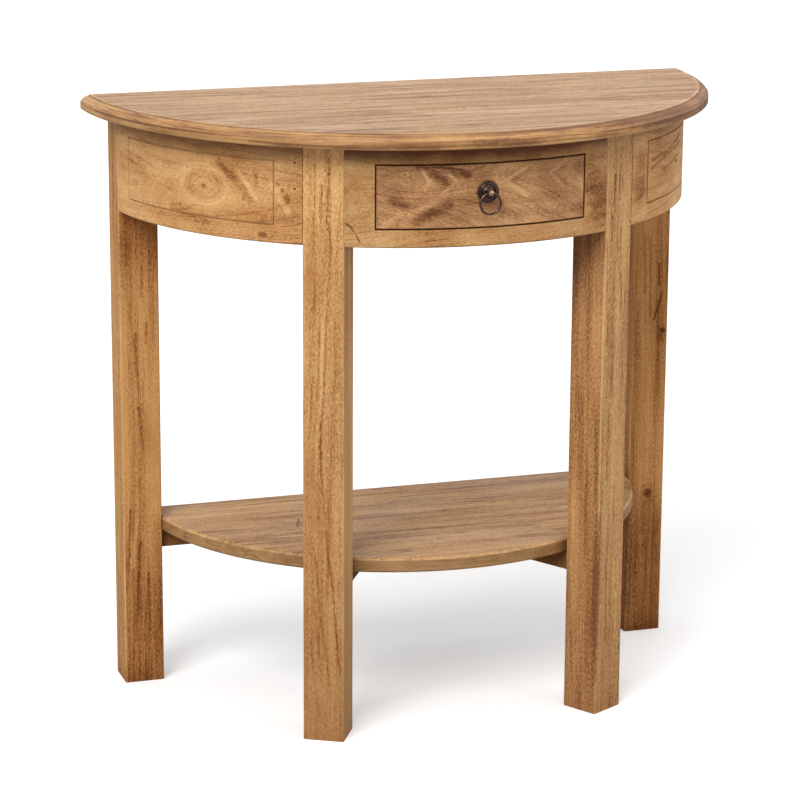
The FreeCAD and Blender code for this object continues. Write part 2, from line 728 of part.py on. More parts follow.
def make_drawer_bottom():
    """Thin bottom, slid in from behind, its front edge bowed like the drawer front."""
    body = new_body("drawer_bottom")
    bow = "sqrt(bottom_radius ^ 2 - bottom_half ^ 2)"
    corners = [
        ("-bottom_half", f"-{bow}"), ("bottom_half", f"-{bow}"),
        ("bottom_half", "-rear_back"), ("-bottom_half", "-rear_back"),
    ]
    slab(body, corners, "bottom_low", "bottom_thickness", {0: ("0", "0", "bottom_radius")})


def make_shelf():
    """Half-round shelf between the back legs, its curve just clear of the front legs."""
    body = new_body("shelf")
    corners = [
        ("-shelf_half", "-shelf_corner"), ("shelf_half", "-shelf_corner"),
        ("shelf_half", "-back_inset"), ("-shelf_half", "-back_inset"),
    ]
    slab(body, corners, "shelf_low", "shelf_thickness", {0: ("0", "shelf_arc_shift", "shelf_radius")})
    radius = number("shelf_radius")
    bevel_edges(body, "shelf_arris", lambda edge: is_arc(edge, radius))
    drill_pilots(body, shelf_screw_centres, "shelf_low")


def make_back_stretcher():
    """Low rail between the back legs that carries the back of the shelf and the two arms."""
    body = new_body("back_stretcher")
    slab(body, box_plan("-back_leg_in", "back_leg_in", "-stretcher_front", "-leg_half + stretcher_half"),
         "stretcher_low", "stretcher_height")
    for side in SIDES.values():
        tenon = box_plan("back_leg_in", "back_leg_in + tenon_length",
                         "-leg_half - tenon_thickness / 2", "-leg_half + tenon_thickness / 2")
        slab(body, mirrored(tenon, side), "stretcher_tenon_low", "stretcher_tenon_height")
        slot = box_plan(
            "arm_foot - tenon_thickness / 2 - joint_gap", "arm_foot + tenon_thickness / 2 + joint_gap",
            f"-stretcher_front - {OVERCUT}", "-stretcher_front + stub_length + glue_space")
        slab(body, mirrored(slot, side), "stretcher_tenon_low - joint_gap",
             "stretcher_tenon_height + 2 * joint_gap", cut=True)
    drill_for_screws(body, back_screws, "stretcher_low", "shelf_low")


def make_arm(name, side):
    """Arm from a front leg back to the stretcher, drawn straight ahead and then swung round like its leg."""
    body = new_body(f"shelf_arm_{name}")
    body.Placement = FreeCAD.Placement(
        FreeCAD.Vector(0, 0, 0), FreeCAD.Rotation(FreeCAD.Vector(0, 0, side), SIZES["leg_angle"]))
    bind(body, "Placement.Rotation.Angle", "leg_angle")
    slant = "stretcher_half * sin(leg_angle)"
    plan = [
        ("-stretcher_half", "-leg_in"), ("stretcher_half", "-leg_in"),
        ("stretcher_half", f"-(stretcher_front + {slant}) / cos(leg_angle)"),
        ("-stretcher_half", f"-(stretcher_front - {slant}) / cos(leg_angle)"),
    ]
    slab(body, mirrored(plan, side), "stretcher_low", "stretcher_height")
    leg_tenon = box_plan("-tenon_thickness / 2", "tenon_thickness / 2", "-leg_in - tenon_length", "-leg_in")
    slab(body, leg_tenon, "stretcher_tenon_low", "stretcher_tenon_height")
    stub = box_plan("arm_foot - tenon_thickness / 2", "arm_foot + tenon_thickness / 2",
                    "-stretcher_front", "-stretcher_front + stub_length")
    swung_back = [
        (f"{side} * (({x}) * cos(leg_angle) + ({y}) * sin(leg_angle))",
         f"({y}) * cos(leg_angle) - ({x}) * sin(leg_angle)")
        for x, y in stub
    ]
    slab(body, swung_back, "stretcher_tenon_low", "stretcher_tenon_height")
    drill_for_screws(body, [("0", f"-{arm_screw_reach}")], "stretcher_low", "shelf_low")


def on_drawer_face(body, z="pull_height", out="0"):
    """Stand a turned piece on the drawer front so that its own upright axis points out at the user."""
    body.Placement = FreeCAD.Placement(
        FreeCAD.Vector(0, 0, 0), FreeCAD.Rotation(FreeCAD.Vector(1, 0, 0), 90))
    place(body, y=f"top_radius / 2 - apron_radius - ({out})", z=z)


def make_rosette():
    """Stepped round back plate of the ring pull: a rim, a raised bead and a hub that the post stands on."""
    body = new_body("pull_rosette")
    on_drawer_face(body)
    bore = "post_bolt / 2 + joint_gap"
    corners = [
        (bore, "0"),
        ("rosette_diameter / 2", "0"),
        ("rosette_diameter / 2", "rosette_rim"),
        ("bead_diameter / 2", "rosette_rim"),
        ("bead_diameter / 2", "bead_height"),
        ("bead_diameter / 2 - bead_width", "bead_height"),
        ("bead_diameter / 2 - bead_width", "valley_height"),
        ("hub_diameter / 2", "valley_height"),
        ("hub_diameter / 2", "rosette_thickness"),
        (bore, "rosette_thickness"),
    ]
    spin(body, corners)


def make_post():
    """Bolt of the pull: a shank through the drawer front and a ball with a cross hole for the ring."""
    body = new_body("pull_post")
    on_drawer_face(body)
    tail = "-washer_seat - washer_thickness - nut_thickness - bolt_tail"
    ball_bands = (-10, 45)
    corners = [
        ("0", tail),
        ("post_bolt / 2", tail),
        ("post_bolt / 2", "rosette_thickness"),
        ("post_neck / 2", "rosette_thickness"),
        ("post_neck / 2", "post_reach - sqrt(post_ball ^ 2 - post_neck ^ 2) / 2"),
    ]
    corners += [(f"post_ball / 2 * cos({band})", f"post_reach + post_ball / 2 * sin({band})")
                for band in ball_bands]
    corners.append(("0", "post_reach + post_ball / 2"))
    spin(body, corners)
    sketch = new_sketch(body, "YZ_Plane", "-post_ball")
    draw_circle(sketch, "0", "post_reach", "post_hole")
    extrude(body, sketch, "2 * post_ball", cut=True)


def make_ring():
    """Drop ring that hangs through the post."""
    ring = new_body("pull_ring")
    on_drawer_face(ring, "pull_height - ring_mean", "post_reach")
    spin(ring, polygon("ring_mean", "0", "ring_wire", WIRE_SIDES))


def make_fixings():
    """Washer and hexagon nut that hold the pull from inside the drawer."""
    washer = new_body("pull_washer")
    on_drawer_face(washer, out="-washer_seat - washer_thickness")
    sketch = new_sketch(washer)
    draw_outline(sketch, polygon("0", "0", "washer_diameter", WASHER_SIDES))
    draw_circle(sketch, "0", "0", "post_bolt + 2 * joint_gap")
    extrude(washer, sketch, "washer_thickness")
    nut = new_body("pull_nut")
    on_drawer_face(nut, out="-washer_seat - washer_thickness - nut_thickness")
    sketch = new_sketch(nut)
    draw_outline(sketch, polygon("0", "0", "2 * nut_flats / sqrt(3)", 6))
    draw_circle(sketch, "0", "0", "post_bolt + joint_gap")
    extrude(nut, sketch, "nut_thickness")


make_top()
for side_name, side_sign in SIDES.items():
    make_front_leg(side_name, side_sign)
    make_back_leg(side_name, side_sign)
    make_side_apron(side_name, side_sign)
    make_top_block(side_name, side_sign)
    make_runner(side_name, side_sign)
    make_kicker(side_name, side_sign)
    make_drawer_side(side_name, side_sign)
    make_arm(side_name, side_sign)
make_front_apron()
make_back_apron()
make_drawer_front()
make_drawer_back()
make_drawer_bottom()
make_shelf()
make_back_stretcher()
make_rosette()
make_post()
make_ring()
make_fixings()
screw_group("top_screws", top_screw_centres, "frame_top")
screw_group("shelf_screws", shelf_screw_centres, "shelf_low")
doc.recompute()

for item in doc.Objects:
    if "Invalid" in item.State or "Error" in item.State:
        raise ValueError(f"{item.Name} did not rebuild: {item.State}")
for piece in pieces:
    if piece.Shape.isNull() or not piece.Shape.isValid():
        raise ValueError(f"{piece.Label} has no sound shape")

os.makedirs("parts", exist_ok=True)
for piece in pieces:
    piece.Shape.exportStep(f"parts/{piece.Label}.step")
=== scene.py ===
"""Looks of a half-round console table: honey-coloured old wood, one drawer, an antique bronze ring pull.

Lengths are in metres and angles in degrees. The front faces -Y and the straight back edge is at the
highest Y; the middle of that edge is the axis that the top, the aprons and the front legs are set round.
"""

import math
from collections import namedtuple

import bmesh
import bpy
from mathutils import Matrix, Vector


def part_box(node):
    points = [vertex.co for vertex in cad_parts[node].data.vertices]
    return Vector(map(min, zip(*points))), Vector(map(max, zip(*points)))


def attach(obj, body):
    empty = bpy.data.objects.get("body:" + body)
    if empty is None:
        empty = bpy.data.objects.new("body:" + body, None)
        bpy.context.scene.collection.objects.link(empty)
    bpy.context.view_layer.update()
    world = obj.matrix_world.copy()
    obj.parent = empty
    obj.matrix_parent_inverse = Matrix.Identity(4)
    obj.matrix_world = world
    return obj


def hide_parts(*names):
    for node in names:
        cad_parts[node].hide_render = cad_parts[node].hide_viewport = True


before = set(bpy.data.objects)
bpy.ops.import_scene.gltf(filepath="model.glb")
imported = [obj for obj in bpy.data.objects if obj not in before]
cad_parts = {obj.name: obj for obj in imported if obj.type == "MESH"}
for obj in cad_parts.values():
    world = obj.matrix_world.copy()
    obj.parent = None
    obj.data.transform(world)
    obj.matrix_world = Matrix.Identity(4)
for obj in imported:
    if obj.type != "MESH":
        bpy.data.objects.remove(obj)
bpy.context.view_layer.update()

AXIS_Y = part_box("table_top")[1].y
TOP_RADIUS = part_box("table_top")[1].x
TOP_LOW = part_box("table_top")[0].z
APRON_RADIUS = AXIS_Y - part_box("front_apron")[0].y
APRON_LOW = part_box("front_apron")[0].z
LEG_HALF = (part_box("back_leg_left")[1].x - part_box("back_leg_left")[0].x) / 2
LEG_MIDDLE = sum(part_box("front_leg_right"), Vector()) / 2
LEG_OUT = math.hypot(LEG_MIDDLE.x, AXIS_Y - LEG_MIDDLE.y)
LEG_TURN = math.degrees(math.asin(LEG_MIDDLE.x / LEG_OUT))

# Width of the moulding round the top's curved edge, and the rounding of the legs' arrises.
MOULD_RUN = 0.011
LEG_ARRIS = 0.002

# How far in from a leg's face a point still counts wholly as on it, and where it no longer does.
FACE_FULL = 0.0005
FACE_NONE = 0.0015

# Camera at the photograph's place: turned right, tipped down and rolled; its lens and sensor are in mm.
CAMERA_PLACE = Vector((-1.1962, -3.5199, 1.3636))
CAMERA_YAW = 18.03
CAMERA_PITCH = 14.78
CAMERA_ROLL = 0.34
CAMERA_LENS = 140.08
SENSOR_WIDTH = 36.0

# The floor: its white and the shine that lifts it for the camera, and the grey that the table sees.
FLOOR_SIZE = 40.0
FLOOR_WHITE = (0.8, 0.8, 0.8, 1.0)
FLOOR_SHINE = 0.35
FLOOR_GREY = (0.4, 0.39, 0.38, 1.0)

# The surroundings: their colour, their brightness where seen or mirrored, and the light they give.
PURE_WHITE = (1.0, 1.0, 1.0, 1.0)
WORLD_SEEN = 1.0
WORLD_LIGHT = 0.42

# Turned pieces: how many facets go round them, and the sharpest bend that is still shaded smooth.
LATHE_STEPS = 64
SMOOTH_BEND = 40.0

# A knot or burl: where it is along and across the grain, its radius across the grain, how much longer it
# is along the grain, how marked its rim is, and its heart's radius and darkness.
Knot = namedtuple("Knot", "along across radius stretch rim heart dark")

# A streak, crack or blotch between two places along and across the grain; a negative dark makes it pale.
Scar = namedtuple("Scar", "start end width dark")

# A kind of wood, with its colours from pale to deep. pith is where the heart of the tree lies, across the
# board and below its face; the rings round it are about spacing apart and drift by taper along the board;
# wobble is how far they wander, and every line_gap one ends in a dark line. band, lines, streak, patch,
# speckle, pores and checks are how strongly each of these shows. cloud_run, pore_run and check_run are how
# many patches, pores and checks there are in a metre along the grain, and bundled is how far the pores and
# checks crowd into bundles. The two after bundled are how strongly edges are rubbed pale, wear that is
# partly painted highlight, and how strongly corners are darkened, painted shade with some dirt. The next
# is the share of the deep colour a metre before onset along the grain, or beyond it where negative:
# painted shade, deeper towards the floor on the legs and towards the right end on the top.
Look = namedtuple("Look", "pale mid warm deep pith taper spacing wobble band line_gap lines streak patch "
                          "cloud_run speckle pores pore_run checks check_run bundled "
                          "worn grime fade onset sheen")

# A wooden piece: how its grain lies, its wood, its knots and scars, where it is toned, rubbed pale or
# darkened, and where it takes a second look, with that look: the top's moulding, or on the shelf's upright
# edges a darker copy of its wood, which is painted shade. Some of the toning, part of the rubbed paleness
# and the darkening are painted light and shade. The callbacks that tone, rub and darken each take the
# shader and the grain.
Board = namedtuple("Board", "space look knots scars tone wear dirt trim trim_look",
                   defaults=((), (), None, None, None, None, None))

# What a board's noises say at each point.
Figure = namedtuple("Figure", "rings lines rims hearts streak patch ruddy gloss fibre")


def tint(red, green, blue):
    """Linear colour from screen levels of 0 to 255."""
    def linear(level):
        share = level / 255
        return share / 12.92 if share <= 0.04045 else ((share + 0.055) / 1.055) ** 2.4
    return (linear(red), linear(green), linear(blue), 1.0)


class Shader:
    """Builds one material's nodes; a value may be a number, a tuple or another node's output."""

    def __init__(self, name):
        self.material = bpy.data.materials.new(name)
        self.material.use_nodes = True
        self.tree = self.material.node_tree
        self.tree.nodes.clear()

    def node(self, kind, inputs=None, **settings):
        """A new node with its settings made and its inputs fed."""
        node = self.tree.nodes.new(kind)
        for name, value in settings.items():
            setattr(node, name, value)
        for name, value in (inputs or {}).items():
            self.feed(node.inputs[name], value)
        return node

    def feed(self, socket, value):
        """Link a socket to another node's output, or set its own value."""
        if isinstance(value, bpy.types.NodeSocket):
            self.tree.links.new(value, socket)
        else:
            socket.default_value = value

    def math(self, operation, first, second=0.0):
        node = self.node("ShaderNodeMath", {0: first, 1: second}, operation=operation)
        return node.outputs[0]

    def plus(self, *values):
        total = values[0]
        for value in values[1:]:
            total = self.math("ADD", total, value)
        return total

    def times(self, first, second):
        return self.math("MULTIPLY", first, second)

    def swing(self, value, reach):
        """A noise between 0 and 1 turned into one that swings both ways."""
        return self.times(self.math("SUBTRACT", value, 0.5), reach)

    def most(self, *values):
        highest = values[0]
        for value in values[1:]:
            highest = self.math("MAXIMUM", highest, value)
        return highest

    def length(self, first, second):
        return self.math("SQRT", self.plus(self.times(first, first), self.times(second, second)))

    def vector(self, operation, first, second):
        return self.node("ShaderNodeVectorMath", {0: first, 1: second}, operation=operation)

    def split(self, vector):
        return self.node("ShaderNodeSeparateXYZ", {0: vector}).outputs[:]

    def join(self, x, y, z):
        return self.node("ShaderNodeCombineXYZ", {0: x, 1: y, 2: z}).outputs[0]

    def place(self):
        """Where a point lies in the shared frame while the joints are at rest."""
        return self.node("ShaderNodeTexCoord").outputs["Object"]

    def noise(self, where, along, across, detail=3.0, roughness=0.55):
        """Cloudy noise with so many lumps per metre along the first axis and along the other two."""
        scaled = self.vector("MULTIPLY", where, (along, across, across)).outputs[0]
        inputs = {"Vector": scaled, "Scale": 1.0, "Detail": detail, "Roughness": roughness}
        return self.node("ShaderNodeTexNoise", inputs).outputs

    def remap(self, value, low, high, to_low=0.0, to_high=1.0):
        """Smooth step between two limits, held outside them."""
        inputs = {"Value": value, "From Min": low, "From Max": high, "To Min": to_low, "To Max": to_high}
        return self.node("ShaderNodeMapRange", inputs, interpolation_type="SMOOTHSTEP").outputs[0]

    def ramp(self, value, stops):
        """Colour that runs through the stops, given as (place, colour)."""
        node = self.node("ShaderNodeValToRGB", {0: value})
        elements = node.color_ramp.elements
        while len(elements) < len(stops):
            elements.new(0.5)
        for element, (place, colour) in zip(elements, stops):
            element.position = place
            element.color = colour
        return node.outputs[0]

    def mix(self, data_type, share, first, second):
        """Two values mixed by a share; the node has sockets in other places for each type of value."""
        first_place, second_place, result = {"VECTOR": (4, 5, 1), "RGBA": (6, 7, 2)}[data_type]
        inputs = {"Factor": share, first_place: first, second_place: second}
        return self.node("ShaderNodeMix", inputs, data_type=data_type).outputs[result]

    def blend(self, share, first, second):
        return self.mix("RGBA", share, first, second)

    def normal(self):
        return self.node("ShaderNodeNewGeometry").outputs["Normal"]

    def eased(self, radius, samples):
        """Normal of the piece with its edges rounded off."""
        return self.node("ShaderNodeBevel", {"Radius": radius}, samples=samples).outputs[0]

    def edges(self, radius):
        """How near a point is to an edge of its piece, from 0 to 1."""
        flat, bent = 0.985, 0.8
        facing = self.vector("DOT_PRODUCT", self.eased(radius, samples=6), self.normal())
        return self.remap(facing.outputs["Value"], flat, bent)

    def crevices(self, reach):
        """How shut in a point is by what is close to it, from 0 to 1."""
        free, shut_in = 0.92, 0.42
        node = self.node("ShaderNodeAmbientOcclusion", {"Distance": reach}, samples=6)
        return self.remap(node.outputs["AO"], free, shut_in)

    def bump(self, height, strength, depth, normal=None):
        inputs = {"Strength": strength, "Distance": depth, "Height": height}
        if normal is not None:
            inputs["Normal"] = normal
        return self.node("ShaderNodeBump", inputs).outputs[0]

    def finish(self, **inputs):
        """The material with its surface, whose inputs are named as on the shader node."""
        named = {key.replace("_", " "): value for key, value in inputs.items()}
        surface = self.node("ShaderNodeBsdfPrincipled", named).outputs[0]
        self.node("ShaderNodeOutputMaterial", {"Surface": surface})
        return self.material


def board_space(axis, turn=0.0):
    """Grain coordinates of a straight piece: along, across and depth, after turning it square."""
    order = {"X": (0, 1, 2), "Y": (1, 0, 2), "Z": (2, 0, 1)}[axis]

    def coordinates(shader):
        inputs = {"Vector": shader.place(), "Center": (0.0, AXIS_Y, 0.0), "Angle": math.radians(turn)}
        squared = shader.node("ShaderNodeVectorRotate", inputs, rotation_type="Z_AXIS").outputs[0]
        parts = shader.split(squared)
        return shader.join(*(parts[index] for index in order))
    return coordinates


def bent_space(shader):
    """Grain coordinates of a curved piece: along its arc, up, and in from its outer face."""
    x, y, z = shader.split(shader.place())
    out = shader.math("SUBTRACT", AXIS_Y, y)
    along = shader.times(shader.math("ARCTAN2", x, out), APRON_RADIUS)
    depth = shader.math("SUBTRACT", APRON_RADIUS, shader.length(x, out))
    return shader.join(along, z, depth)


def beyond_step(shader):
    """How far out a point of the top is from the step beside its moulding."""
    x, y, _ = shader.split(shader.place())
    return shader.plus(shader.length(x, shader.math("SUBTRACT", AXIS_Y, y)), MOULD_RUN - TOP_RADIUS)


def on_mould(shader):
    """1 on the top's moulding, 0 on its boards."""
    return shader.math("GREATER_THAN", beyond_step(shader), 0.0)


def lipped_space(shader):
    """Grain of the top: straight boards, with a moulding bent round their curved edge."""
    return shader.mix("VECTOR", on_mould(shader), board_space("X")(shader), bent_space(shader))


def near_zero(shader, value, full, none):
    """1 where a value is within full of zero, falling to 0 at none."""
    return shader.remap(shader.math("ABSOLUTE", value), full, none, 1.0, 0.0)


def mould_tone(shader, grain):
    """The top's moulding has paler and darker stretches, and painted shade darkens it towards its right
    end.
    """
    left, right = -0.3, 0.55
    left_tone, right_tone = -0.18, -0.7
    stretches = shader.noise(grain, along=14.0, across=40.0, detail=4.0, roughness=0.6)["Fac"]
    strands = shader.noise(grain, along=5.0, across=260.0, detail=4.0, roughness=0.6)["Fac"]
    # Painted shade, deeper towards the moulding's right end.
    painted_shade_rightward = shader.remap(shader.split(grain)[0], left, right, left_tone, right_tone)
    tone = shader.plus(shader.swing(stretches, reach=1.5), shader.swing(strands, reach=1.8), painted_shade_rightward)
    return shader.times(tone, on_mould(shader))


def mould_wear_and_highlight(shader, grain):
    """Painted highlights on rubbed lines along the step beside the moulding and along the top's lower
    edge.
    """
    step_inset, step_full, step_none = 0.0022, 0.0008, 0.0018
    edge_full, edge_none = 0.0012, 0.0022
    height = shader.split(shader.place())[2]
    step = near_zero(shader, shader.plus(beyond_step(shader), step_inset), step_full, step_none)
    low_edge = shader.remap(height, TOP_LOW + edge_full, TOP_LOW + edge_none, 1.0, 0.0)
    return shader.most(step, shader.times(low_edge, on_mould(shader)))


def mould_dirt_and_shade(shader, grain):
    """Dirt and painted shade in the step beside the moulding."""
    outset, full, none, strength = 0.0005, 0.0006, 0.0016, 0.4
    line = near_zero(shader, shader.plus(beyond_step(shader), -outset), full, none)
    return shader.times(line, strength)


def scribe_painted_light(shader, grain):
    """The scribed lines of a side panel are painted paler inside: painted light that eases their shade."""
    face, cut, deepest, beyond = 0.0003, 0.0008, 0.003, 0.004
    paleness = 0.5
    depth = shader.split(grain)[2]
    below_face = shader.remap(depth, face, cut, 0.0, paleness)
    return shader.times(below_face, shader.remap(depth, deepest, beyond, 1.0, 0.0))


def shade_under_top(share):
    """Painted shade along an apron, close under the top, up to a share of its full strength."""
    low, high = TOP_LOW - 0.026, TOP_LOW - 0.006
    raggedness = 0.02

    def dirt(shader, grain):
        uneven = shader.swing(shader.noise(grain, along=20.0, across=30.0)["Fac"], raggedness)
        return shader.remap(shader.plus(shader.split(grain)[1], uneven), low, high, 0.0, share)
    return dirt


def levelness(shader):
    """0 on upright faces, 1 on level ones."""
    return shader.math("ABSOLUTE", shader.split(shader.normal())[2])


def on_upright(shader):
    """1 on upright faces, 0 elsewhere."""
    upright, leaning = 0.3, 0.6
    return shader.remap(levelness(shader), upright, leaning, 1.0, 0.0)


def slanted_wear_and_highlight(shader, grain):
    """Rubbed arrises between level and upright faces, painted paler as highlights too."""
    upright, leaning = 0.15, 0.4
    level, tilted = 0.98, 0.9
    slope = levelness(shader)
    return shader.times(shader.remap(slope, upright, leaning), shader.remap(slope, level, tilted))


def on_left_face(shader, grain):
    """1 on the left face of a front leg, 0 elsewhere."""
    across = shader.split(grain)[1]
    return shader.remap(across, FACE_FULL - LEG_HALF, FACE_NONE - LEG_HALF, 1.0, 0.0)


def on_right_face(shader, grain):
    """1 on the right face of a front leg, 0 elsewhere."""
    across = shader.split(grain)[1]
    return shader.remap(across, LEG_HALF - FACE_NONE, LEG_HALF - FACE_FULL)


def right_leg_painted_light(shader, grain):
    """Painted shade on the right leg's left face, deepest near the floor, and painted light on the rest
    under the top.
    """
    low, middle, high = 0.1, 0.5, 0.65
    low_tone, middle_tone, high_tone = -0.36, -0.26, 0.16
    height = shader.split(grain)[0]
    darker = shader.remap(height, low, middle, low_tone, middle_tone)
    paler = shader.remap(height, middle, high, 0.0, high_tone)
    share = on_left_face(shader, grain)
    rest = shader.math("SUBTRACT", 1.0, share)
    return shader.plus(shader.times(darker, share), shader.times(paler, rest))


def left_leg_painted_light(shader, grain):
    """Painted light and shade on the left leg's right face: paler near the floor and darker high up."""
    low, high = 0.1, 0.6
    low_tone, high_tone = 0.42, -0.16
    tone = shader.remap(shader.split(grain)[0], low, high, low_tone, high_tone)
    return shader.times(tone, on_right_face(shader, grain))


def right_leg_shade_and_stain(shader, grain):
    """Painted shade, with some stain, on the right leg's left face close under the apron."""
    run, strength = 0.12, 0.36
    stain = shader.remap(shader.split(grain)[0], APRON_LOW - run, APRON_LOW, 0.0, strength)
    return shader.times(stain, on_left_face(shader, grain))


def post_wear_and_highlight(across_middle, depth_middle):
    """Rubbed upright arrises of a square post, painted paler as highlights too, given its middle across
    and through the grain.
    """
    full, none = 0.6 * LEG_ARRIS, 1.1 * LEG_ARRIS

    def wear(shader, grain):
        _, across, depth = shader.split(grain)
        sideways = shader.math("ABSOLUTE", shader.plus(across, -across_middle))
        through = shader.math("ABSOLUTE", shader.plus(depth, -depth_middle))
        in_from_side = shader.math("SUBTRACT", LEG_HALF, sideways)
        in_from_face = shader.math("SUBTRACT", LEG_HALF, through)
        return shader.remap(shader.length(in_from_side, in_from_face), full, none, 1.0, 0.0)
    return wear


def knot_rim(shader, knot, distance):
    """How a knot tones the wood: its inside and rim one way, the border round them the other way."""
    radius, strength = knot.radius, knot.rim
    inside = shader.remap(distance, 0.6 * radius, 1.15 * radius, -0.8 * strength, 0.0)
    rim = near_zero(shader, shader.plus(distance, -radius), 0.0, 0.25 * radius)
    border = near_zero(shader, shader.plus(distance, -1.4 * radius), 0.0, 0.4 * radius)
    return shader.plus(inside, shader.times(rim, -0.5 * strength), shader.times(border, 0.6 * strength))


def ring_field(shader, grain, drift, look, knots):
    """Distance through the growth rings, which close round knots, with the knots' rims and hearts."""
    along, across, depth = shader.split(grain)
    wander = shader.split(shader.noise(drift, along=2.5, across=12.0, detail=2.0)["Color"])
    side_shift, deep_shift = (shader.swing(part, look.wobble) for part in wander[:2])
    side = shader.plus(across, side_shift, -look.pith[0])
    under = shader.plus(depth, deep_shift, look.pith[1])
    field = shader.plus(shader.length(side, under), shader.times(along, look.taper))
    rims, hearts = 0.0, 0.0
    for knot in knots:
        uneven = 1.2 * knot.radius / look.wobble
        run = shader.plus(along, -knot.along, shader.times(deep_shift, uneven))
        rise = shader.plus(across, -knot.across, shader.times(side_shift, uneven))
        distance = shader.length(shader.times(run, 1 / knot.stretch), rise)
        near = shader.remap(distance, 0.8 * knot.radius, 2.4 * knot.radius, 1.0, 0.0)
        field = shader.plus(field, shader.times(shader.math("SUBTRACT", distance, field), near))
        rims = shader.plus(rims, knot_rim(shader, knot, distance))
        heart = shader.remap(distance, 0.6 * knot.heart, knot.heart, knot.dark, 0.0)
        hearts = shader.most(hearts, heart)
    return field, rims, hearts


def scar_distance(shader, along, across, scar):
    """Distance from the straight line between a scar's two ends."""
    way = Vector(scar.end) - Vector(scar.start)
    run = way.length
    way.normalize()
    first = shader.plus(along, -scar.start[0])
    second = shader.plus(across, -scar.start[1])
    past = shader.plus(shader.times(first, way.x), shader.times(second, way.y))
    aside = shader.plus(shader.times(first, -way.y), shader.times(second, way.x))
    beyond = shader.most(shader.times(past, -1.0), shader.math("SUBTRACT", past, run), 0.0)
    return shader.length(beyond, aside)


def scar_tone(shader, grain, drift, scars):
    """How much the streaks, cracks and blotches lighten or darken the wood."""
    raggedness = 0.007
    thinnest = 0.55
    frayed = shader.noise(drift, along=60.0, across=140.0, detail=4.0, roughness=0.7)["Color"]
    along_shift, across_shift, texture = shader.split(frayed)
    along, across, _ = shader.split(grain)
    along = shader.plus(along, shader.swing(along_shift, raggedness))
    across = shader.plus(across, shader.swing(across_shift, raggedness))
    darkest, palest = 0.0, 0.0
    for scar in scars:
        distance = scar_distance(shader, along, across, scar)
        mark = shader.remap(distance, 0.1 * scar.width, scar.width, abs(scar.dark), 0.0)
        if scar.dark > 0:
            darkest = shader.most(darkest, mark)
        else:
            palest = shader.most(palest, mark)
    textured = shader.remap(texture, 0.3, 0.6, thinnest, 1.0)
    return shader.times(shader.math("SUBTRACT", palest, darkest), textured)


def ring_lines(shader, field, rings, drift, look):
    """Dark lines where growth rings end, broken along the grain."""
    line_start, line_full = 0.62, 0.97
    turns = shader.plus(shader.times(field, 1 / look.line_gap), shader.swing(rings, reach=3.0))
    late = shader.remap(shader.math("FRACT", turns), line_start, line_full)
    broken = shader.noise(drift, along=11.0, across=60.0)["Fac"]
    return shader.times(late, shader.remap(broken, 0.4, 0.62, 0.15 * look.lines, look.lines))


def dark_marks(shader, drift, streak, look):
    """Pores and drying checks, crowded in the darker streaks and in thin bundles."""
    pore_spots = shader.noise(drift, look.pore_run, across=640.0, detail=2.0)["Fac"]
    check_lines = shader.noise(drift, look.check_run, across=360.0, detail=4.0, roughness=0.6)["Fac"]
    bundles = shader.noise(drift, look.check_run, across=170.0)["Fac"]
    crowded = shader.plus(shader.swing(streak, reach=-0.6), shader.swing(bundles, look.bundled))
    pores = shader.times(shader.remap(shader.plus(pore_spots, crowded), 0.54, 0.66), look.pores)
    checks = shader.times(shader.remap(shader.plus(check_lines, crowded), 0.64, 0.72), look.checks)
    return shader.most(pores, checks)


def figured(shader, grain, drift, board, seed):
    """The growth rings, streaks, patches and fibres of a board."""
    look = board.look
    field, rims, hearts = ring_field(shader, grain, drift, look, board.knots)
    across_rings = shader.join(field, seed, 0.0)
    rings = shader.noise(across_rings, 1 / look.spacing, across=1.0, detail=4.0, roughness=0.6)["Fac"]
    lines = ring_lines(shader, field, rings, drift, look)
    streak = shader.noise(drift, along=3.5, across=75.0, detail=5.0, roughness=0.6)["Fac"]
    clouds = shader.noise(drift, look.cloud_run, across=16.0, detail=4.0, roughness=0.6)["Color"]
    patch, ruddy, gloss = shader.split(clouds)
    fibre = shader.noise(drift, along=240.0, across=560.0, roughness=0.75)["Fac"]
    return Figure(rings, lines, rims, hearts, streak, patch, ruddy, gloss, fibre)


def board_tone(shader, grain, drift, board, figure, calm):
    """How pale a board is: 0 at its deep colour, 1 at its pale one."""
    look = board.look
    middle_tone = 0.66
    tone = shader.plus(
        middle_tone,
        shader.swing(figure.rings, 3.0 * look.band),
        shader.times(figure.lines, -1.0),
        shader.swing(figure.streak, 2.6 * look.streak),
        shader.swing(figure.patch, 2.6 * look.patch),
        shader.times(shader.swing(figure.fibre, look.speckle), calm),
        figure.rims,
    )
    if board.scars:
        tone = shader.plus(tone, scar_tone(shader, grain, drift, board.scars))
    if board.tone:
        tone = shader.plus(tone, board.tone(shader, grain))
    return tone


def toned(shader, tone, look):
    """A wood's colour at each tone, from deep to pale."""
    return shader.ramp(tone, [(0.0, look.deep), (0.33, look.warm), (0.62, look.mid), (1.0, look.pale)])


def board_colour(shader, grain, board, figure, tone):
    """A board's colour with its ruddy patches, its second look and painted shade that deepens it along the
    grain.
    """
    look = board.look
    most_ruddy = 0.4
    ruddiness = shader.remap(figure.ruddy, 0.5, 0.68, 0.0, most_ruddy)
    colour = shader.blend(ruddiness, toned(shader, tone, look), look.warm)
    if board.trim:
        colour = shader.blend(board.trim(shader), colour, toned(shader, tone, board.trim_look))
    # Painted shade, deeper towards the floor on the legs and towards the right end on the top.
    before = shader.math("SUBTRACT", look.onset, shader.split(grain)[0])
    return shader.blend(shader.times(before, look.fade), colour, look.deep)


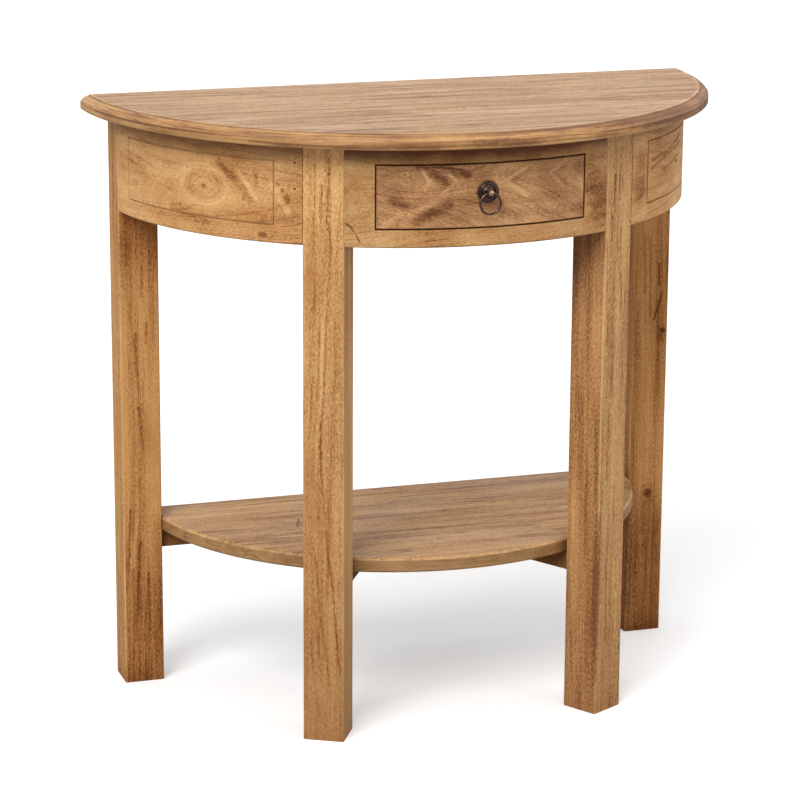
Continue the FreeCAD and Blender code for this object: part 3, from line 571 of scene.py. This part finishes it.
def wear_and_highlight_share(shader, grain, board, patch):
    """How much a board is rubbed pale along its edges, unevenly: wear, partly painted highlight."""
    edge_reach = 0.003
    worn = shader.edges(edge_reach)
    if board.wear:
        worn = shader.most(worn, board.wear(shader, grain))
    return shader.times(worn, shader.remap(patch, 0.4, 0.62, 0.1 * board.look.worn, board.look.worn))


def grime_and_shade_share(shader, grain, board):
    """How dark a board is in its corners, in the moulding's step and close under what overhangs it:
    painted shade, with some dirt.
    """
    corner_reach = 0.035
    grime = shader.times(shader.crevices(corner_reach), board.look.grime)
    if board.dirt:
        grime = shader.most(grime, board.dirt(shader, grain))
    return grime


def wood(name, board, seed):
    """Oiled old wood with growth rings, streaks, pores and drying checks, rubbed edges partly painted as
    highlights, and corners darkened by painted shade with some dirt.
    """
    mark_colour, wear_and_highlight_colour, grime_and_shade_colour = tint(98, 56, 26), tint(240, 198, 142), tint(92, 43, 12)
    trim_calm = 0.3
    arris, relief = 0.0012, 0.0008
    apart = tuple(step * seed for step in (1.7, 2.9, 4.3))
    shader = Shader(name)
    grain = board.space(shader)
    drift = shader.vector("ADD", grain, apart).outputs[0]
    figure = figured(shader, grain, drift, board, seed)
    calm = shader.remap(board.trim(shader), 0.0, 1.0, 1.0, trim_calm) if board.trim else 1.0
    marks = shader.times(dark_marks(shader, drift, figure.streak, board.look), calm)
    dark = shader.most(marks, figure.hearts)
    tone = board_tone(shader, grain, drift, board, figure, calm)
    colour = shader.blend(dark, board_colour(shader, grain, board, figure, tone), mark_colour)
    # Rubbed edges are painted pale: wear, and painted highlights along the arrises.
    colour = shader.blend(wear_and_highlight_share(shader, grain, board, figure.patch), colour, wear_and_highlight_colour)
    # Corners and places under overhangs are painted dark: painted shade, with some dirt.
    colour = shader.blend(grime_and_shade_share(shader, grain, board), colour, grime_and_shade_colour)
    height = shader.plus(
        shader.times(figure.fibre, 0.5), shader.times(dark, -1.0), shader.times(figure.lines, -0.4))
    roughness = shader.plus(shader.remap(figure.gloss, 0.3, 0.7, 0.44, 0.56), shader.times(dark, 0.2))
    return shader.finish(
        Base_Color=colour, Roughness=roughness, Specular_IOR_Level=board.look.sheen,
        Normal=shader.bump(height, strength=0.45, depth=relief, normal=shader.eased(arris, samples=4)))


def bronze(name, rubbed):
    """Dark bronze, dull in its hollows, bright on its edges and by a share where hands rub it."""
    patina = [(0.3, tint(62, 48, 42)), (0.55, tint(82, 65, 56)), (0.8, tint(116, 92, 76))]
    bright, soot = tint(214, 176, 142), tint(20, 13, 10)
    edge_reach, hollow_reach, most = 0.0012, 0.004, 0.7
    shader = Shader(name)
    place = shader.place()
    cloud = shader.noise(place, along=260.0, across=260.0, detail=5.0, roughness=0.65)["Fac"]
    pits = shader.noise(place, along=1500.0, across=1500.0, detail=2.0)["Fac"]
    bare = shader.most(
        shader.times(shader.edges(edge_reach), most), shader.remap(cloud, 0.3, 0.7, 0.6 * rubbed, rubbed))
    colour = shader.blend(bare, shader.ramp(cloud, patina), bright)
    colour = shader.blend(shader.times(shader.crevices(hollow_reach), most), colour, soot)
    return shader.finish(
        Base_Color=colour, Metallic=0.9, Roughness=shader.remap(cloud, 0.3, 0.7, 0.15, 0.3),
        Normal=shader.bump(pits, strength=0.06, depth=0.0002))


def steel(name):
    """Plain zinc-grey steel with fine scratches and a little rust in patches."""
    dull, clean, rusty = tint(128, 126, 122), tint(176, 174, 170), tint(112, 70, 44)
    shader = Shader(name)
    place = shader.place()
    scratches = shader.noise(place, along=3000.0, across=400.0)["Fac"]
    rust = shader.noise(place, along=420.0, across=420.0, detail=4.0)["Fac"]
    colour = shader.ramp(scratches, [(0.3, dull), (0.7, clean)])
    colour = shader.blend(shader.remap(rust, 0.55, 0.72, 0.0, 0.6), colour, rusty)
    return shader.finish(
        Base_Color=colour, Metallic=0.9, Roughness=shader.remap(rust, 0.4, 0.7, 0.32, 0.6),
        Normal=shader.bump(scratches, strength=0.2, depth=0.0002))


def shaded(look, share):
    """The same wood with every colour at a share of its brightness."""
    names = ("pale", "mid", "warm", "deep")
    return look._replace(**{name: tuple(share * part for part in getattr(look, name)) for name in names})


LEG_LOOK = Look(
    pale=tint(246, 201, 138), mid=tint(227, 174, 114), warm=tint(204, 144, 84), deep=tint(136, 84, 43),
    pith=(0.09, 0.07), taper=0.012, spacing=0.012, wobble=0.02, band=0.2, line_gap=0.006, lines=0.3,
    streak=0.48, patch=0.35, cloud_run=6.0, speckle=2.2, pores=0.27, pore_run=320.0,
    checks=0.36, check_run=14.0, bundled=0.0, worn=0.4, grime=0.1, fade=0.92, onset=0.7, sheen=0.2)
RIGHT_LEG_LOOK = LEG_LOOK._replace(
    pale=tint(225, 178, 120), mid=tint(203, 152, 99), warm=tint(181, 128, 78), deep=tint(126, 80, 44),
    band=0.12, streak=0.65, speckle=2.4, pores=0.45, checks=0.7, fade=0.35, onset=0.5)
BACK_LEG_LOOK = LEG_LOOK._replace(
    pale=tint(220, 166, 104), mid=tint(197, 139, 83), warm=tint(174, 114, 62), deep=tint(114, 66, 31),
    streak=0.6, speckle=2.2, pores=0.28, checks=0.5, grime=0.5, fade=0.2, onset=0.4, sheen=0.08)
APRON_LOOK = LEG_LOOK._replace(
    pale=tint(244, 196, 134), mid=tint(222, 168, 110), warm=tint(199, 140, 83), deep=tint(138, 86, 45),
    pith=(0.67, 0.05), taper=0.08, spacing=0.02, wobble=0.05, band=0.4, line_gap=0.005, lines=0.3,
    streak=0.18, patch=0.6, cloud_run=12.0, speckle=1.6, pores=0.26, pore_run=190.0, checks=0.18,
    grime=0.25, fade=0.0)
FRONT_APRON_LOOK = shaded(APRON_LOOK, 0.8)
DRAWER_LOOK = APRON_LOOK._replace(
    pale=tint(220, 171, 117), mid=tint(186, 136, 92), warm=tint(155, 107, 68), deep=tint(98, 57, 29),
    pith=(0.690, 0.012), taper=-0.4, spacing=0.02, wobble=0.04, band=0.55, line_gap=0.007, lines=0.25,
    patch=0.6, grime=0.35)
TOP_LOOK = LEG_LOOK._replace(
    pale=tint(208, 168, 125), mid=tint(185, 144, 103), warm=tint(161, 119, 80), deep=tint(120, 82, 50),
    pith=(0.0, 0.25), taper=0.01, spacing=0.02, wobble=0.06, band=0.15, line_gap=0.004, lines=0.3,
    streak=0.4, patch=0.25, pores=0.45, pore_run=70.0, checks=0.65, check_run=7.0, bundled=1.05,
    worn=0.55, grime=0.15, fade=-0.18, onset=0.0, sheen=0.5)
MOULD_LOOK = LEG_LOOK._replace(
    pale=tint(228, 178, 116), mid=tint(200, 150, 94), warm=tint(172, 122, 72), deep=tint(116, 74, 40))
SHELF_LOOK = TOP_LOOK._replace(
    pale=tint(208, 164, 109), mid=tint(184, 140, 91), warm=tint(160, 115, 68), deep=tint(110, 72, 38),
    pores=0.4, checks=0.55, bundled=0.95, worn=0.25, grime=0.4, fade=0.0, sheen=0.35)
# The shelf's arms and the back stretcher are darker copies of the back legs' wood: painted shade under the
# shelf.
ARM_LOOK = shaded(BACK_LEG_LOOK, 0.42)
STRETCHER_LOOK = shaded(BACK_LEG_LOOK, 0.6)
INNER_LOOK = LEG_LOOK._replace(
    pale=tint(220, 186, 140), mid=tint(200, 162, 114), warm=tint(182, 140, 92), deep=tint(144, 104, 64),
    worn=0.2, checks=0.3, grime=0.5, fade=0.0)


def streaks(dark, width, *ends):
    """Scars of one darkness and width, each given by its two ends."""
    return tuple(Scar(start, end, width, dark) for start, end in ends)


# Marks of single boards, at the places along and across the grain where the photograph shows them.
LEFT_APRON_KNOTS = (
    Knot(along=-0.351, across=0.674, radius=0.0165, stretch=1.5, rim=0.22, heart=0.0032, dark=0.6),
    Knot(along=-0.269, across=0.6215, radius=0.004, stretch=1.7, rim=0.3, heart=0.0036, dark=0.6),
    Knot(along=-0.243, across=0.676, radius=0.003, stretch=1.0, rim=0.2, heart=0.0028, dark=0.5),
    Knot(along=-0.228, across=0.709, radius=0.002, stretch=1.0, rim=0.2, heart=0.0018, dark=0.9),
    Knot(along=-0.228, across=0.6785, radius=0.002, stretch=1.0, rim=0.2, heart=0.0018, dark=0.9),
)
LEFT_APRON_SCARS = (
    Scar(start=(-0.329, 0.702), end=(-0.306, 0.684), width=0.008, dark=0.33),
    Scar(start=(-0.306, 0.684), end=(-0.285, 0.662), width=0.008, dark=0.24),
    Scar(start=(-0.278, 0.694), end=(-0.276, 0.678), width=0.005, dark=0.3),
    Scar(start=(-0.300, 0.692), end=(-0.278, 0.664), width=0.005, dark=-0.4),
    Scar(start=(-0.258, 0.684), end=(-0.236, 0.650), width=0.006, dark=-0.35),
    Scar(start=(-0.400, 0.640), end=(-0.350, 0.632), width=0.012, dark=0.25),
    Scar(start=(-0.230, 0.720), end=(-0.230, 0.620), width=0.022, dark=0.18),
)
FRONT_APRON_SCARS = (
    *streaks(1.0, 0.0018, ((-0.167, 0.640), (-0.161, 0.637)), ((-0.161, 0.637), (-0.155, 0.628)),
             ((-0.155, 0.628), (-0.150, 0.618))),
    Scar(start=(-0.167, 0.694), end=(-0.155, 0.685), width=0.014, dark=0.3),
    Scar(start=(-0.159, 0.657), end=(-0.145, 0.662), width=0.010, dark=-0.3),
    Scar(start=(-0.162, 0.680), end=(-0.152, 0.640), width=0.030, dark=0.2),
    Scar(start=(0.140, 0.690), end=(0.158, 0.640), width=0.045, dark=0.5),
)
DRAWER_KNOTS = (
    Knot(along=-0.0875, across=0.6915, radius=0.0145, stretch=3.4, rim=0.0, heart=0.001, dark=0.0),
    Knot(along=-0.099, across=0.699, radius=0.003, stretch=1.8, rim=-0.3, heart=0.0014, dark=0.6),
)
DRAWER_SCARS = (
    Scar(start=(-0.045, 0.704), end=(-0.024, 0.697), width=0.007, dark=0.55),
    Scar(start=(-0.066, 0.700), end=(-0.050, 0.687), width=0.009, dark=0.5),
    Scar(start=(-0.083, 0.707), end=(-0.045, 0.706), width=0.005, dark=0.55),
    Scar(start=(-0.112, 0.668), end=(-0.098, 0.662), width=0.010, dark=0.45),
    Scar(start=(-0.084, 0.644), end=(-0.047, 0.662), width=0.011, dark=0.55),
    Scar(start=(-0.127, 0.636), end=(-0.103, 0.652), width=0.006, dark=-0.3),
    Scar(start=(-0.092, 0.652), end=(-0.050, 0.674), width=0.006, dark=-0.3),
    *streaks(-0.45, 0.003, ((-0.079, 0.703), (-0.069, 0.690)), ((-0.069, 0.690), (-0.075, 0.680)),
             ((-0.046, 0.699), (-0.038, 0.689)), ((-0.038, 0.689), (-0.056, 0.676))),
    *streaks(-0.35, 0.003, ((0.048, 0.701), (0.022, 0.688)), ((0.022, 0.688), (0.050, 0.668)),
             ((0.104, 0.707), (0.081, 0.693)), ((0.081, 0.693), (0.100, 0.675))),
    *streaks(0.25, 0.004, ((0.056, 0.701), (0.031, 0.688)), ((0.031, 0.688), (0.058, 0.670)),
             ((0.108, 0.704), (0.088, 0.693)), ((0.088, 0.693), (0.106, 0.677))),
)
LEFT_LEG_SCARS = (
    *streaks(0.3, 0.0026, ((0.684, -0.002), (0.630, -0.002)), ((0.650, 0.008), (0.612, 0.008)),
             ((0.612, 0.010), (0.524, 0.004)), ((0.524, 0.004), (0.400, -0.001)),
             ((0.179, -0.011), (0.074, -0.002))),
    *streaks(0.5, 0.0024, ((0.400, -0.003), (0.331, -0.002)), ((0.331, -0.002), (0.244, 0.005)),
             ((0.244, 0.005), (0.201, 0.011)), ((0.201, 0.011), (0.086, 0.021))),
    *streaks(0.25, 0.0030, ((0.250, -0.012), (0.160, -0.004)), ((0.160, -0.004), (0.060, 0.009)),
             ((0.130, -0.016), (0.030, -0.006))),
    *streaks(-0.3, 0.002, ((0.612, 0.007), (0.524, 0.0)), ((0.524, 0.0), (0.381, -0.005))),
    Scar(start=(0.521, 0.017), end=(0.442, 0.017), width=0.006, dark=0.2),
)
RIGHT_LEG_SCARS = (
    *streaks(0.8, 0.002, ((0.679, -0.007), (0.645, -0.009)), ((0.676, 0.001), (0.657, 0.001)),
             ((0.678, 0.006), (0.658, 0.007))),
    *streaks(0.45, 0.0026, ((0.633, -0.012), (0.600, -0.011)), ((0.628, -0.001), (0.571, -0.001)),
             ((0.619, 0.005), (0.508, 0.008)), ((0.602, -0.021), (0.470, -0.016)),
             ((0.383, -0.010), (0.301, -0.011)), ((0.291, 0.002), (0.248, 0.004)),
             ((0.198, -0.009), (0.094, -0.006)), ((0.198, 0.011), (0.154, 0.011))),
)
BACK_LEFT_SCARS = (
    # The first four are painted light and shade: paler in the middle, darker near the floor and high up,
    # and a pale strip down the leg's left face where the light falls.
    Scar(start=(0.30, -0.345), end=(0.48, -0.345), width=0.10, dark=-0.3),
    Scar(start=(0.02, -0.345), end=(0.08, -0.345), width=0.12, dark=0.3),
    Scar(start=(0.58, -0.345), end=(0.66, -0.345), width=0.08, dark=0.3),
    Scar(start=(0.0, -0.368), end=(0.73, -0.368), width=0.004, dark=-0.5),
    *streaks(0.5, 0.0035, ((0.541, -0.339), (0.504, -0.339)), ((0.471, -0.333), (0.444, -0.334)),
             ((0.455, -0.348), (0.403, -0.346)), ((0.361, -0.344), (0.308, -0.340)),
             ((0.229, -0.357), (0.118, -0.363)), ((0.185, -0.345), (0.055, -0.353)),
             ((0.144, -0.335), (0.054, -0.342))),
    *streaks(-0.5, 0.0045, ((0.282, -0.347), (0.229, -0.348)), ((0.229, -0.348), (0.154, -0.356))),
)
BACK_RIGHT_KNOTS = (
    Knot(along=0.412, across=0.3606, radius=0.004, stretch=1.0, rim=0.3, heart=0.0032, dark=0.9),
    Knot(along=0.1916, across=0.345, radius=0.006, stretch=1.0, rim=0.35, heart=0.004, dark=0.8),
)
BACK_RIGHT_SCARS = (
    Scar(start=(0.412, 0.358), end=(0.403, 0.358), width=0.012, dark=0.35),
    Scar(start=(0.1916, 0.345), end=(0.185, 0.345), width=0.020, dark=0.4),
    # Painted shade, darker near the floor.
    Scar(start=(0.0, 0.345), end=(0.12, 0.345), width=0.10, dark=0.4),
    *streaks(0.45, 0.003, ((0.542, 0.332), (0.465, 0.334)), ((0.537, 0.339), (0.433, 0.342)),
             ((0.502, 0.352), (0.475, 0.353)), ((0.463, 0.358), (0.429, 0.347))),
)
RIGHT_APRON_KNOTS = (
    Knot(along=0.354, across=0.6695, radius=0.003, stretch=1.6, rim=0.3, heart=0.0028, dark=0.9),
)
RIGHT_APRON_SCARS = (
    *streaks(0.5, 0.004, ((0.265, 0.674), (0.310, 0.686)), ((0.310, 0.686), (0.370, 0.690)),
             ((0.301, 0.682), (0.380, 0.706)), ((0.300, 0.668), (0.375, 0.678)),
             ((0.265, 0.685), (0.323, 0.691)), ((0.323, 0.691), (0.370, 0.700))),
    *streaks(0.35, 0.024, ((0.242, 0.690), (0.236, 0.640)), ((0.262, 0.714), (0.280, 0.714))),
)
SHELF_SCARS = (
    Scar(start=(-0.164, 0.062), end=(-0.154, 0.093), width=0.0024, dark=1.0),
)

BACK_LEG_MIDDLES = {side: sum(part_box(f"back_leg_{side}"), Vector()) / 2 for side in ("left", "right")}
FRONT_LEG_WEAR_AND_HIGHLIGHT = post_wear_and_highlight(0.0, AXIS_Y - LEG_OUT)
BACK_LEG_WEAR_AND_HIGHLIGHT = {side: post_wear_and_highlight(middle.x, middle.y) for side, middle in BACK_LEG_MIDDLES.items()}

BOARDS = {
    "table_top": Board(
        lipped_space, TOP_LOOK, tone=mould_tone, wear=mould_wear_and_highlight, dirt=mould_dirt_and_shade,
        trim=on_mould, trim_look=MOULD_LOOK),
    # The shelf's upright edges take a darker copy of its wood: painted shade.
    "shelf": Board(
        board_space("X"), SHELF_LOOK, scars=SHELF_SCARS, wear=slanted_wear_and_highlight,
        trim=on_upright, trim_look=shaded(SHELF_LOOK, 0.76)),
    "front_leg_left": Board(
        board_space("Z", LEG_TURN), LEG_LOOK, scars=LEFT_LEG_SCARS,
        tone=left_leg_painted_light, wear=FRONT_LEG_WEAR_AND_HIGHLIGHT),
    "front_leg_right": Board(
        board_space("Z", -LEG_TURN), RIGHT_LEG_LOOK, scars=RIGHT_LEG_SCARS,
        tone=right_leg_painted_light, wear=FRONT_LEG_WEAR_AND_HIGHLIGHT, dirt=right_leg_shade_and_stain),
    "back_leg_left": Board(
        board_space("Z"), BACK_LEG_LOOK, scars=BACK_LEFT_SCARS, wear=BACK_LEG_WEAR_AND_HIGHLIGHT["left"]),
    "back_leg_right": Board(
        board_space("Z"), BACK_LEG_LOOK, BACK_RIGHT_KNOTS, BACK_RIGHT_SCARS, wear=BACK_LEG_WEAR_AND_HIGHLIGHT["right"]),
    "side_apron_left": Board(
        bent_space, APRON_LOOK, LEFT_APRON_KNOTS, LEFT_APRON_SCARS,
        tone=scribe_painted_light, wear=slanted_wear_and_highlight, dirt=shade_under_top(0.6)),
    "side_apron_right": Board(
        bent_space, APRON_LOOK, RIGHT_APRON_KNOTS, RIGHT_APRON_SCARS,
        wear=slanted_wear_and_highlight, dirt=shade_under_top(0.5)),
    "front_apron": Board(
        bent_space, FRONT_APRON_LOOK, scars=FRONT_APRON_SCARS, wear=slanted_wear_and_highlight, dirt=shade_under_top(0.9)),
    "drawer_front": Board(bent_space, DRAWER_LOOK, DRAWER_KNOTS, DRAWER_SCARS),
    "back_apron": Board(board_space("X"), BACK_LEG_LOOK),
    "back_stretcher": Board(board_space("X"), STRETCHER_LOOK),
    "shelf_arm_left": Board(board_space("Y", LEG_TURN), ARM_LOOK),
    "shelf_arm_right": Board(board_space("Y", -LEG_TURN), ARM_LOOK),
    "drawer_back": Board(board_space("X"), INNER_LOOK),
    "drawer_bottom": Board(board_space("X"), INNER_LOOK),
}
for side in ("left", "right"):
    for piece in ("drawer_side", "drawer_runner", "drawer_kicker", "top_block"):
        BOARDS[f"{piece}_{side}"] = Board(board_space("Y"), INNER_LOOK)


def dress_wood():
    """Give every wooden node its own board."""
    for seed, (name, board) in enumerate(BOARDS.items(), start=1):
        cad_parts[name].material_slots[0].material = wood(f"{name}_wood", board, seed)


def arc(centre, radii, start, end, steps=8):
    """Points of an elliptical arc, as (radius, height) pairs."""
    points = []
    for step in range(steps + 1):
        angle = math.radians(start + (end - start) * step / steps)
        points.append((centre[0] + radii[0] * math.cos(angle), centre[1] + radii[1] * math.sin(angle)))
    return points


def turned(name, outline, base):
    """Piece turned on a lathe about the line through base along -Y, from a closed outline."""
    shape = bmesh.new()
    loops = []
    for radius, height in outline:
        loop = []
        for step in range(LATHE_STEPS):
            angle = 2 * math.pi * step / LATHE_STEPS
            spot = (radius * math.cos(angle), -height, radius * math.sin(angle))
            loop.append(shape.verts.new(base + Vector(spot)))
        loops.append(loop)
    for inner, outer in zip(loops, loops[1:] + loops[:1]):
        for step in range(LATHE_STEPS):
            after = (step + 1) % LATHE_STEPS
            shape.faces.new((inner[step], inner[after], outer[after], outer[step]))
    bmesh.ops.recalc_face_normals(shape, faces=shape.faces)
    return finished_piece(name, shape)


def finished_piece(name, shape):
    """Object in the scene from a finished shape, shaded smooth except at sharp edges."""
    mesh = bpy.data.meshes.new(name)
    shape.to_mesh(mesh)
    shape.free()
    mesh.shade_smooth()
    mesh.set_sharp_from_angle(angle=math.radians(SMOOTH_BEND))
    piece = bpy.data.objects.new(name, mesh)
    bpy.context.scene.collection.objects.link(piece)
    return piece


def dress(piece, node, body, material):
    """Let a piece stand for a node and move with its body."""
    piece.data.materials.append(material)
    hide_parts(node)
    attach(piece, body)


def make_rosette(material):
    """Backplate: a rounded rim, a raised bead and a domed hub, with a hole for the post."""
    low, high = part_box("pull_rosette")
    outer, rise = (high.x - low.x) / 2, high.y - low.y
    hole, rim, rim_round = 0.0021, 0.0018, 0.0008
    bead_middle, bead_half, bead_rise = 0.0092, 0.0015, 0.0014
    foot, foot_rise = 0.0066, 0.0019
    hub_flat, hub_round = 0.0038, 0.0014
    outline = [(hole, 0.0), (outer, 0.0)]
    outline += arc((outer - rim_round, rim - rim_round), (rim_round, rim_round), 0, 90)
    outline += arc((bead_middle, rim), (bead_half, bead_rise), 0, 180)
    outline += [(foot, foot_rise)]
    outline += arc((hub_flat, rise - hub_round), (hub_round, hub_round), 0, 90)
    outline += [(hole, rise)]
    base = Vector((0.0, high.y, (low.z + high.z) / 2))
    dress(turned("pull_rosette_turned", outline, base), "pull_rosette", "drawer", material)


def make_ring(material):
    """Smooth drop ring of round wire."""
    low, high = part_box("pull_ring")
    wire = (high.y - low.y) / 2
    hoop = (high.z - low.z) / 2 - wire
    sides = 12
    outline = arc((hoop, 0.0), (wire, wire), 0, 360 - 360 / sides, steps=sides - 1)
    dress(turned("pull_ring_drawn", outline, (low + high) / 2), "pull_ring", "ring", material)


def dress_metal():
    """Bronze for the pull, steel for what holds it and for the screws."""
    fixings = steel("screw_steel_worn")
    make_rosette(bronze("bronze_rosette", rubbed=0.0))
    make_ring(bronze("bronze_ring", rubbed=0.06))
    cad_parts["pull_post"].material_slots[0].material = bronze("bronze_post", rubbed=0.75)
    for name in ("pull_washer", "pull_nut", "top_screws", "shelf_screws"):
        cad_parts[name].material_slots[0].material = fixings


def floor_material():
    """White that keeps shadows for the camera, and a mid grey for everything else that sees it."""
    shader = Shader("floor_white")
    white = shader.node("ShaderNodeBsdfDiffuse", {"Color": FLOOR_WHITE}).outputs[0]
    shine = shader.node("ShaderNodeEmission", {"Color": PURE_WHITE, "Strength": FLOOR_SHINE}).outputs[0]
    grey = shader.node("ShaderNodeBsdfDiffuse", {"Color": FLOOR_GREY}).outputs[0]
    shown = shader.node("ShaderNodeAddShader", {0: white, 1: shine}).outputs[0]
    seen = shader.node("ShaderNodeLightPath").outputs["Is Camera Ray"]
    choice = shader.node("ShaderNodeMixShader", {0: seen, 1: grey, 2: shown}).outputs[0]
    shader.node("ShaderNodeOutputMaterial", {"Surface": choice})
    return shader.material


def lay_floor():
    """White floor that keeps the table's shadow; the table itself sees it as mid grey."""
    mesh = bpy.data.meshes.new("floor")
    half = FLOOR_SIZE / 2
    corners = [(-half, -half, 0), (half, -half, 0), (half, half, 0), (-half, half, 0)]
    mesh.from_pydata(corners, [], [(0, 1, 2, 3)])
    floor = bpy.data.objects.new("floor", mesh)
    bpy.context.scene.collection.objects.link(floor)
    mesh.materials.append(floor_material())


def light_world():
    """White surroundings for the camera and for reflections, softer for the light they give."""
    world = bpy.data.worlds.new("studio")
    bpy.context.scene.world = world
    world.use_nodes = True
    tree = world.node_tree
    background = tree.nodes["Background"]
    background.inputs["Color"].default_value = PURE_WHITE
    path = tree.nodes.new("ShaderNodeLightPath")
    seen = tree.nodes.new("ShaderNodeMath")
    seen.operation = "MAXIMUM"
    mirrored = tree.nodes.new("ShaderNodeMath")
    mirrored.operation = "MAXIMUM"
    level = tree.nodes.new("ShaderNodeMapRange")
    level.inputs["To Min"].default_value = WORLD_LIGHT
    level.inputs["To Max"].default_value = WORLD_SEEN
    tree.links.new(path.outputs["Is Glossy Ray"], mirrored.inputs[0])
    tree.links.new(path.outputs["Is Transmission Ray"], mirrored.inputs[1])
    tree.links.new(path.outputs["Is Camera Ray"], seen.inputs[0])
    tree.links.new(mirrored.outputs[0], seen.inputs[1])
    tree.links.new(seen.outputs[0], level.inputs["Value"])
    tree.links.new(level.outputs[0], background.inputs["Strength"])


def add_lamp(name, towards, strength, spread):
    """Wide soft lamp far away in the given direction from the table."""
    lamp = bpy.data.lights.new(name, "SUN")
    lamp.energy = strength
    lamp.angle = math.radians(spread)
    holder = bpy.data.objects.new(name, lamp)
    holder.rotation_euler = Vector(towards).to_track_quat("Z", "Y").to_euler()
    bpy.context.scene.collection.objects.link(holder)


def aim_camera():
    """Stand the camera where the photograph was taken."""
    yaw, pitch, roll = (math.radians(angle) for angle in (CAMERA_YAW, CAMERA_PITCH, CAMERA_ROLL))
    ahead = Vector((math.sin(yaw) * math.cos(pitch), math.cos(yaw) * math.cos(pitch), -math.sin(pitch)))
    level = Vector((math.cos(yaw), -math.sin(yaw), 0.0))
    above = level.cross(ahead)
    right = math.cos(roll) * level + math.sin(roll) * above
    up = math.cos(roll) * above - math.sin(roll) * level
    lens = bpy.data.cameras.new("camera")
    lens.sensor_width = SENSOR_WIDTH
    lens.lens = CAMERA_LENS
    camera = bpy.data.objects.new("camera", lens)
    turn = Matrix((right, up, -ahead)).transposed().to_4x4()
    camera.matrix_world = Matrix.Translation(CAMERA_PLACE) @ turn
    bpy.context.scene.collection.objects.link(camera)
    bpy.context.scene.camera = camera


bpy.context.scene.view_settings.view_transform = "Standard"
dress_wood()
dress_metal()
lay_floor()
light_world()
add_lamp("key_lamp", (-0.6, -0.65, 0.8), strength=2.0, spread=30.0)
add_lamp("top_lamp", (0.1, -0.25, 1.0), strength=0.7, spread=70.0)
add_lamp("fill_lamp", (0.85, -0.45, 0.35), strength=0.6, spread=70.0)
aim_camera()
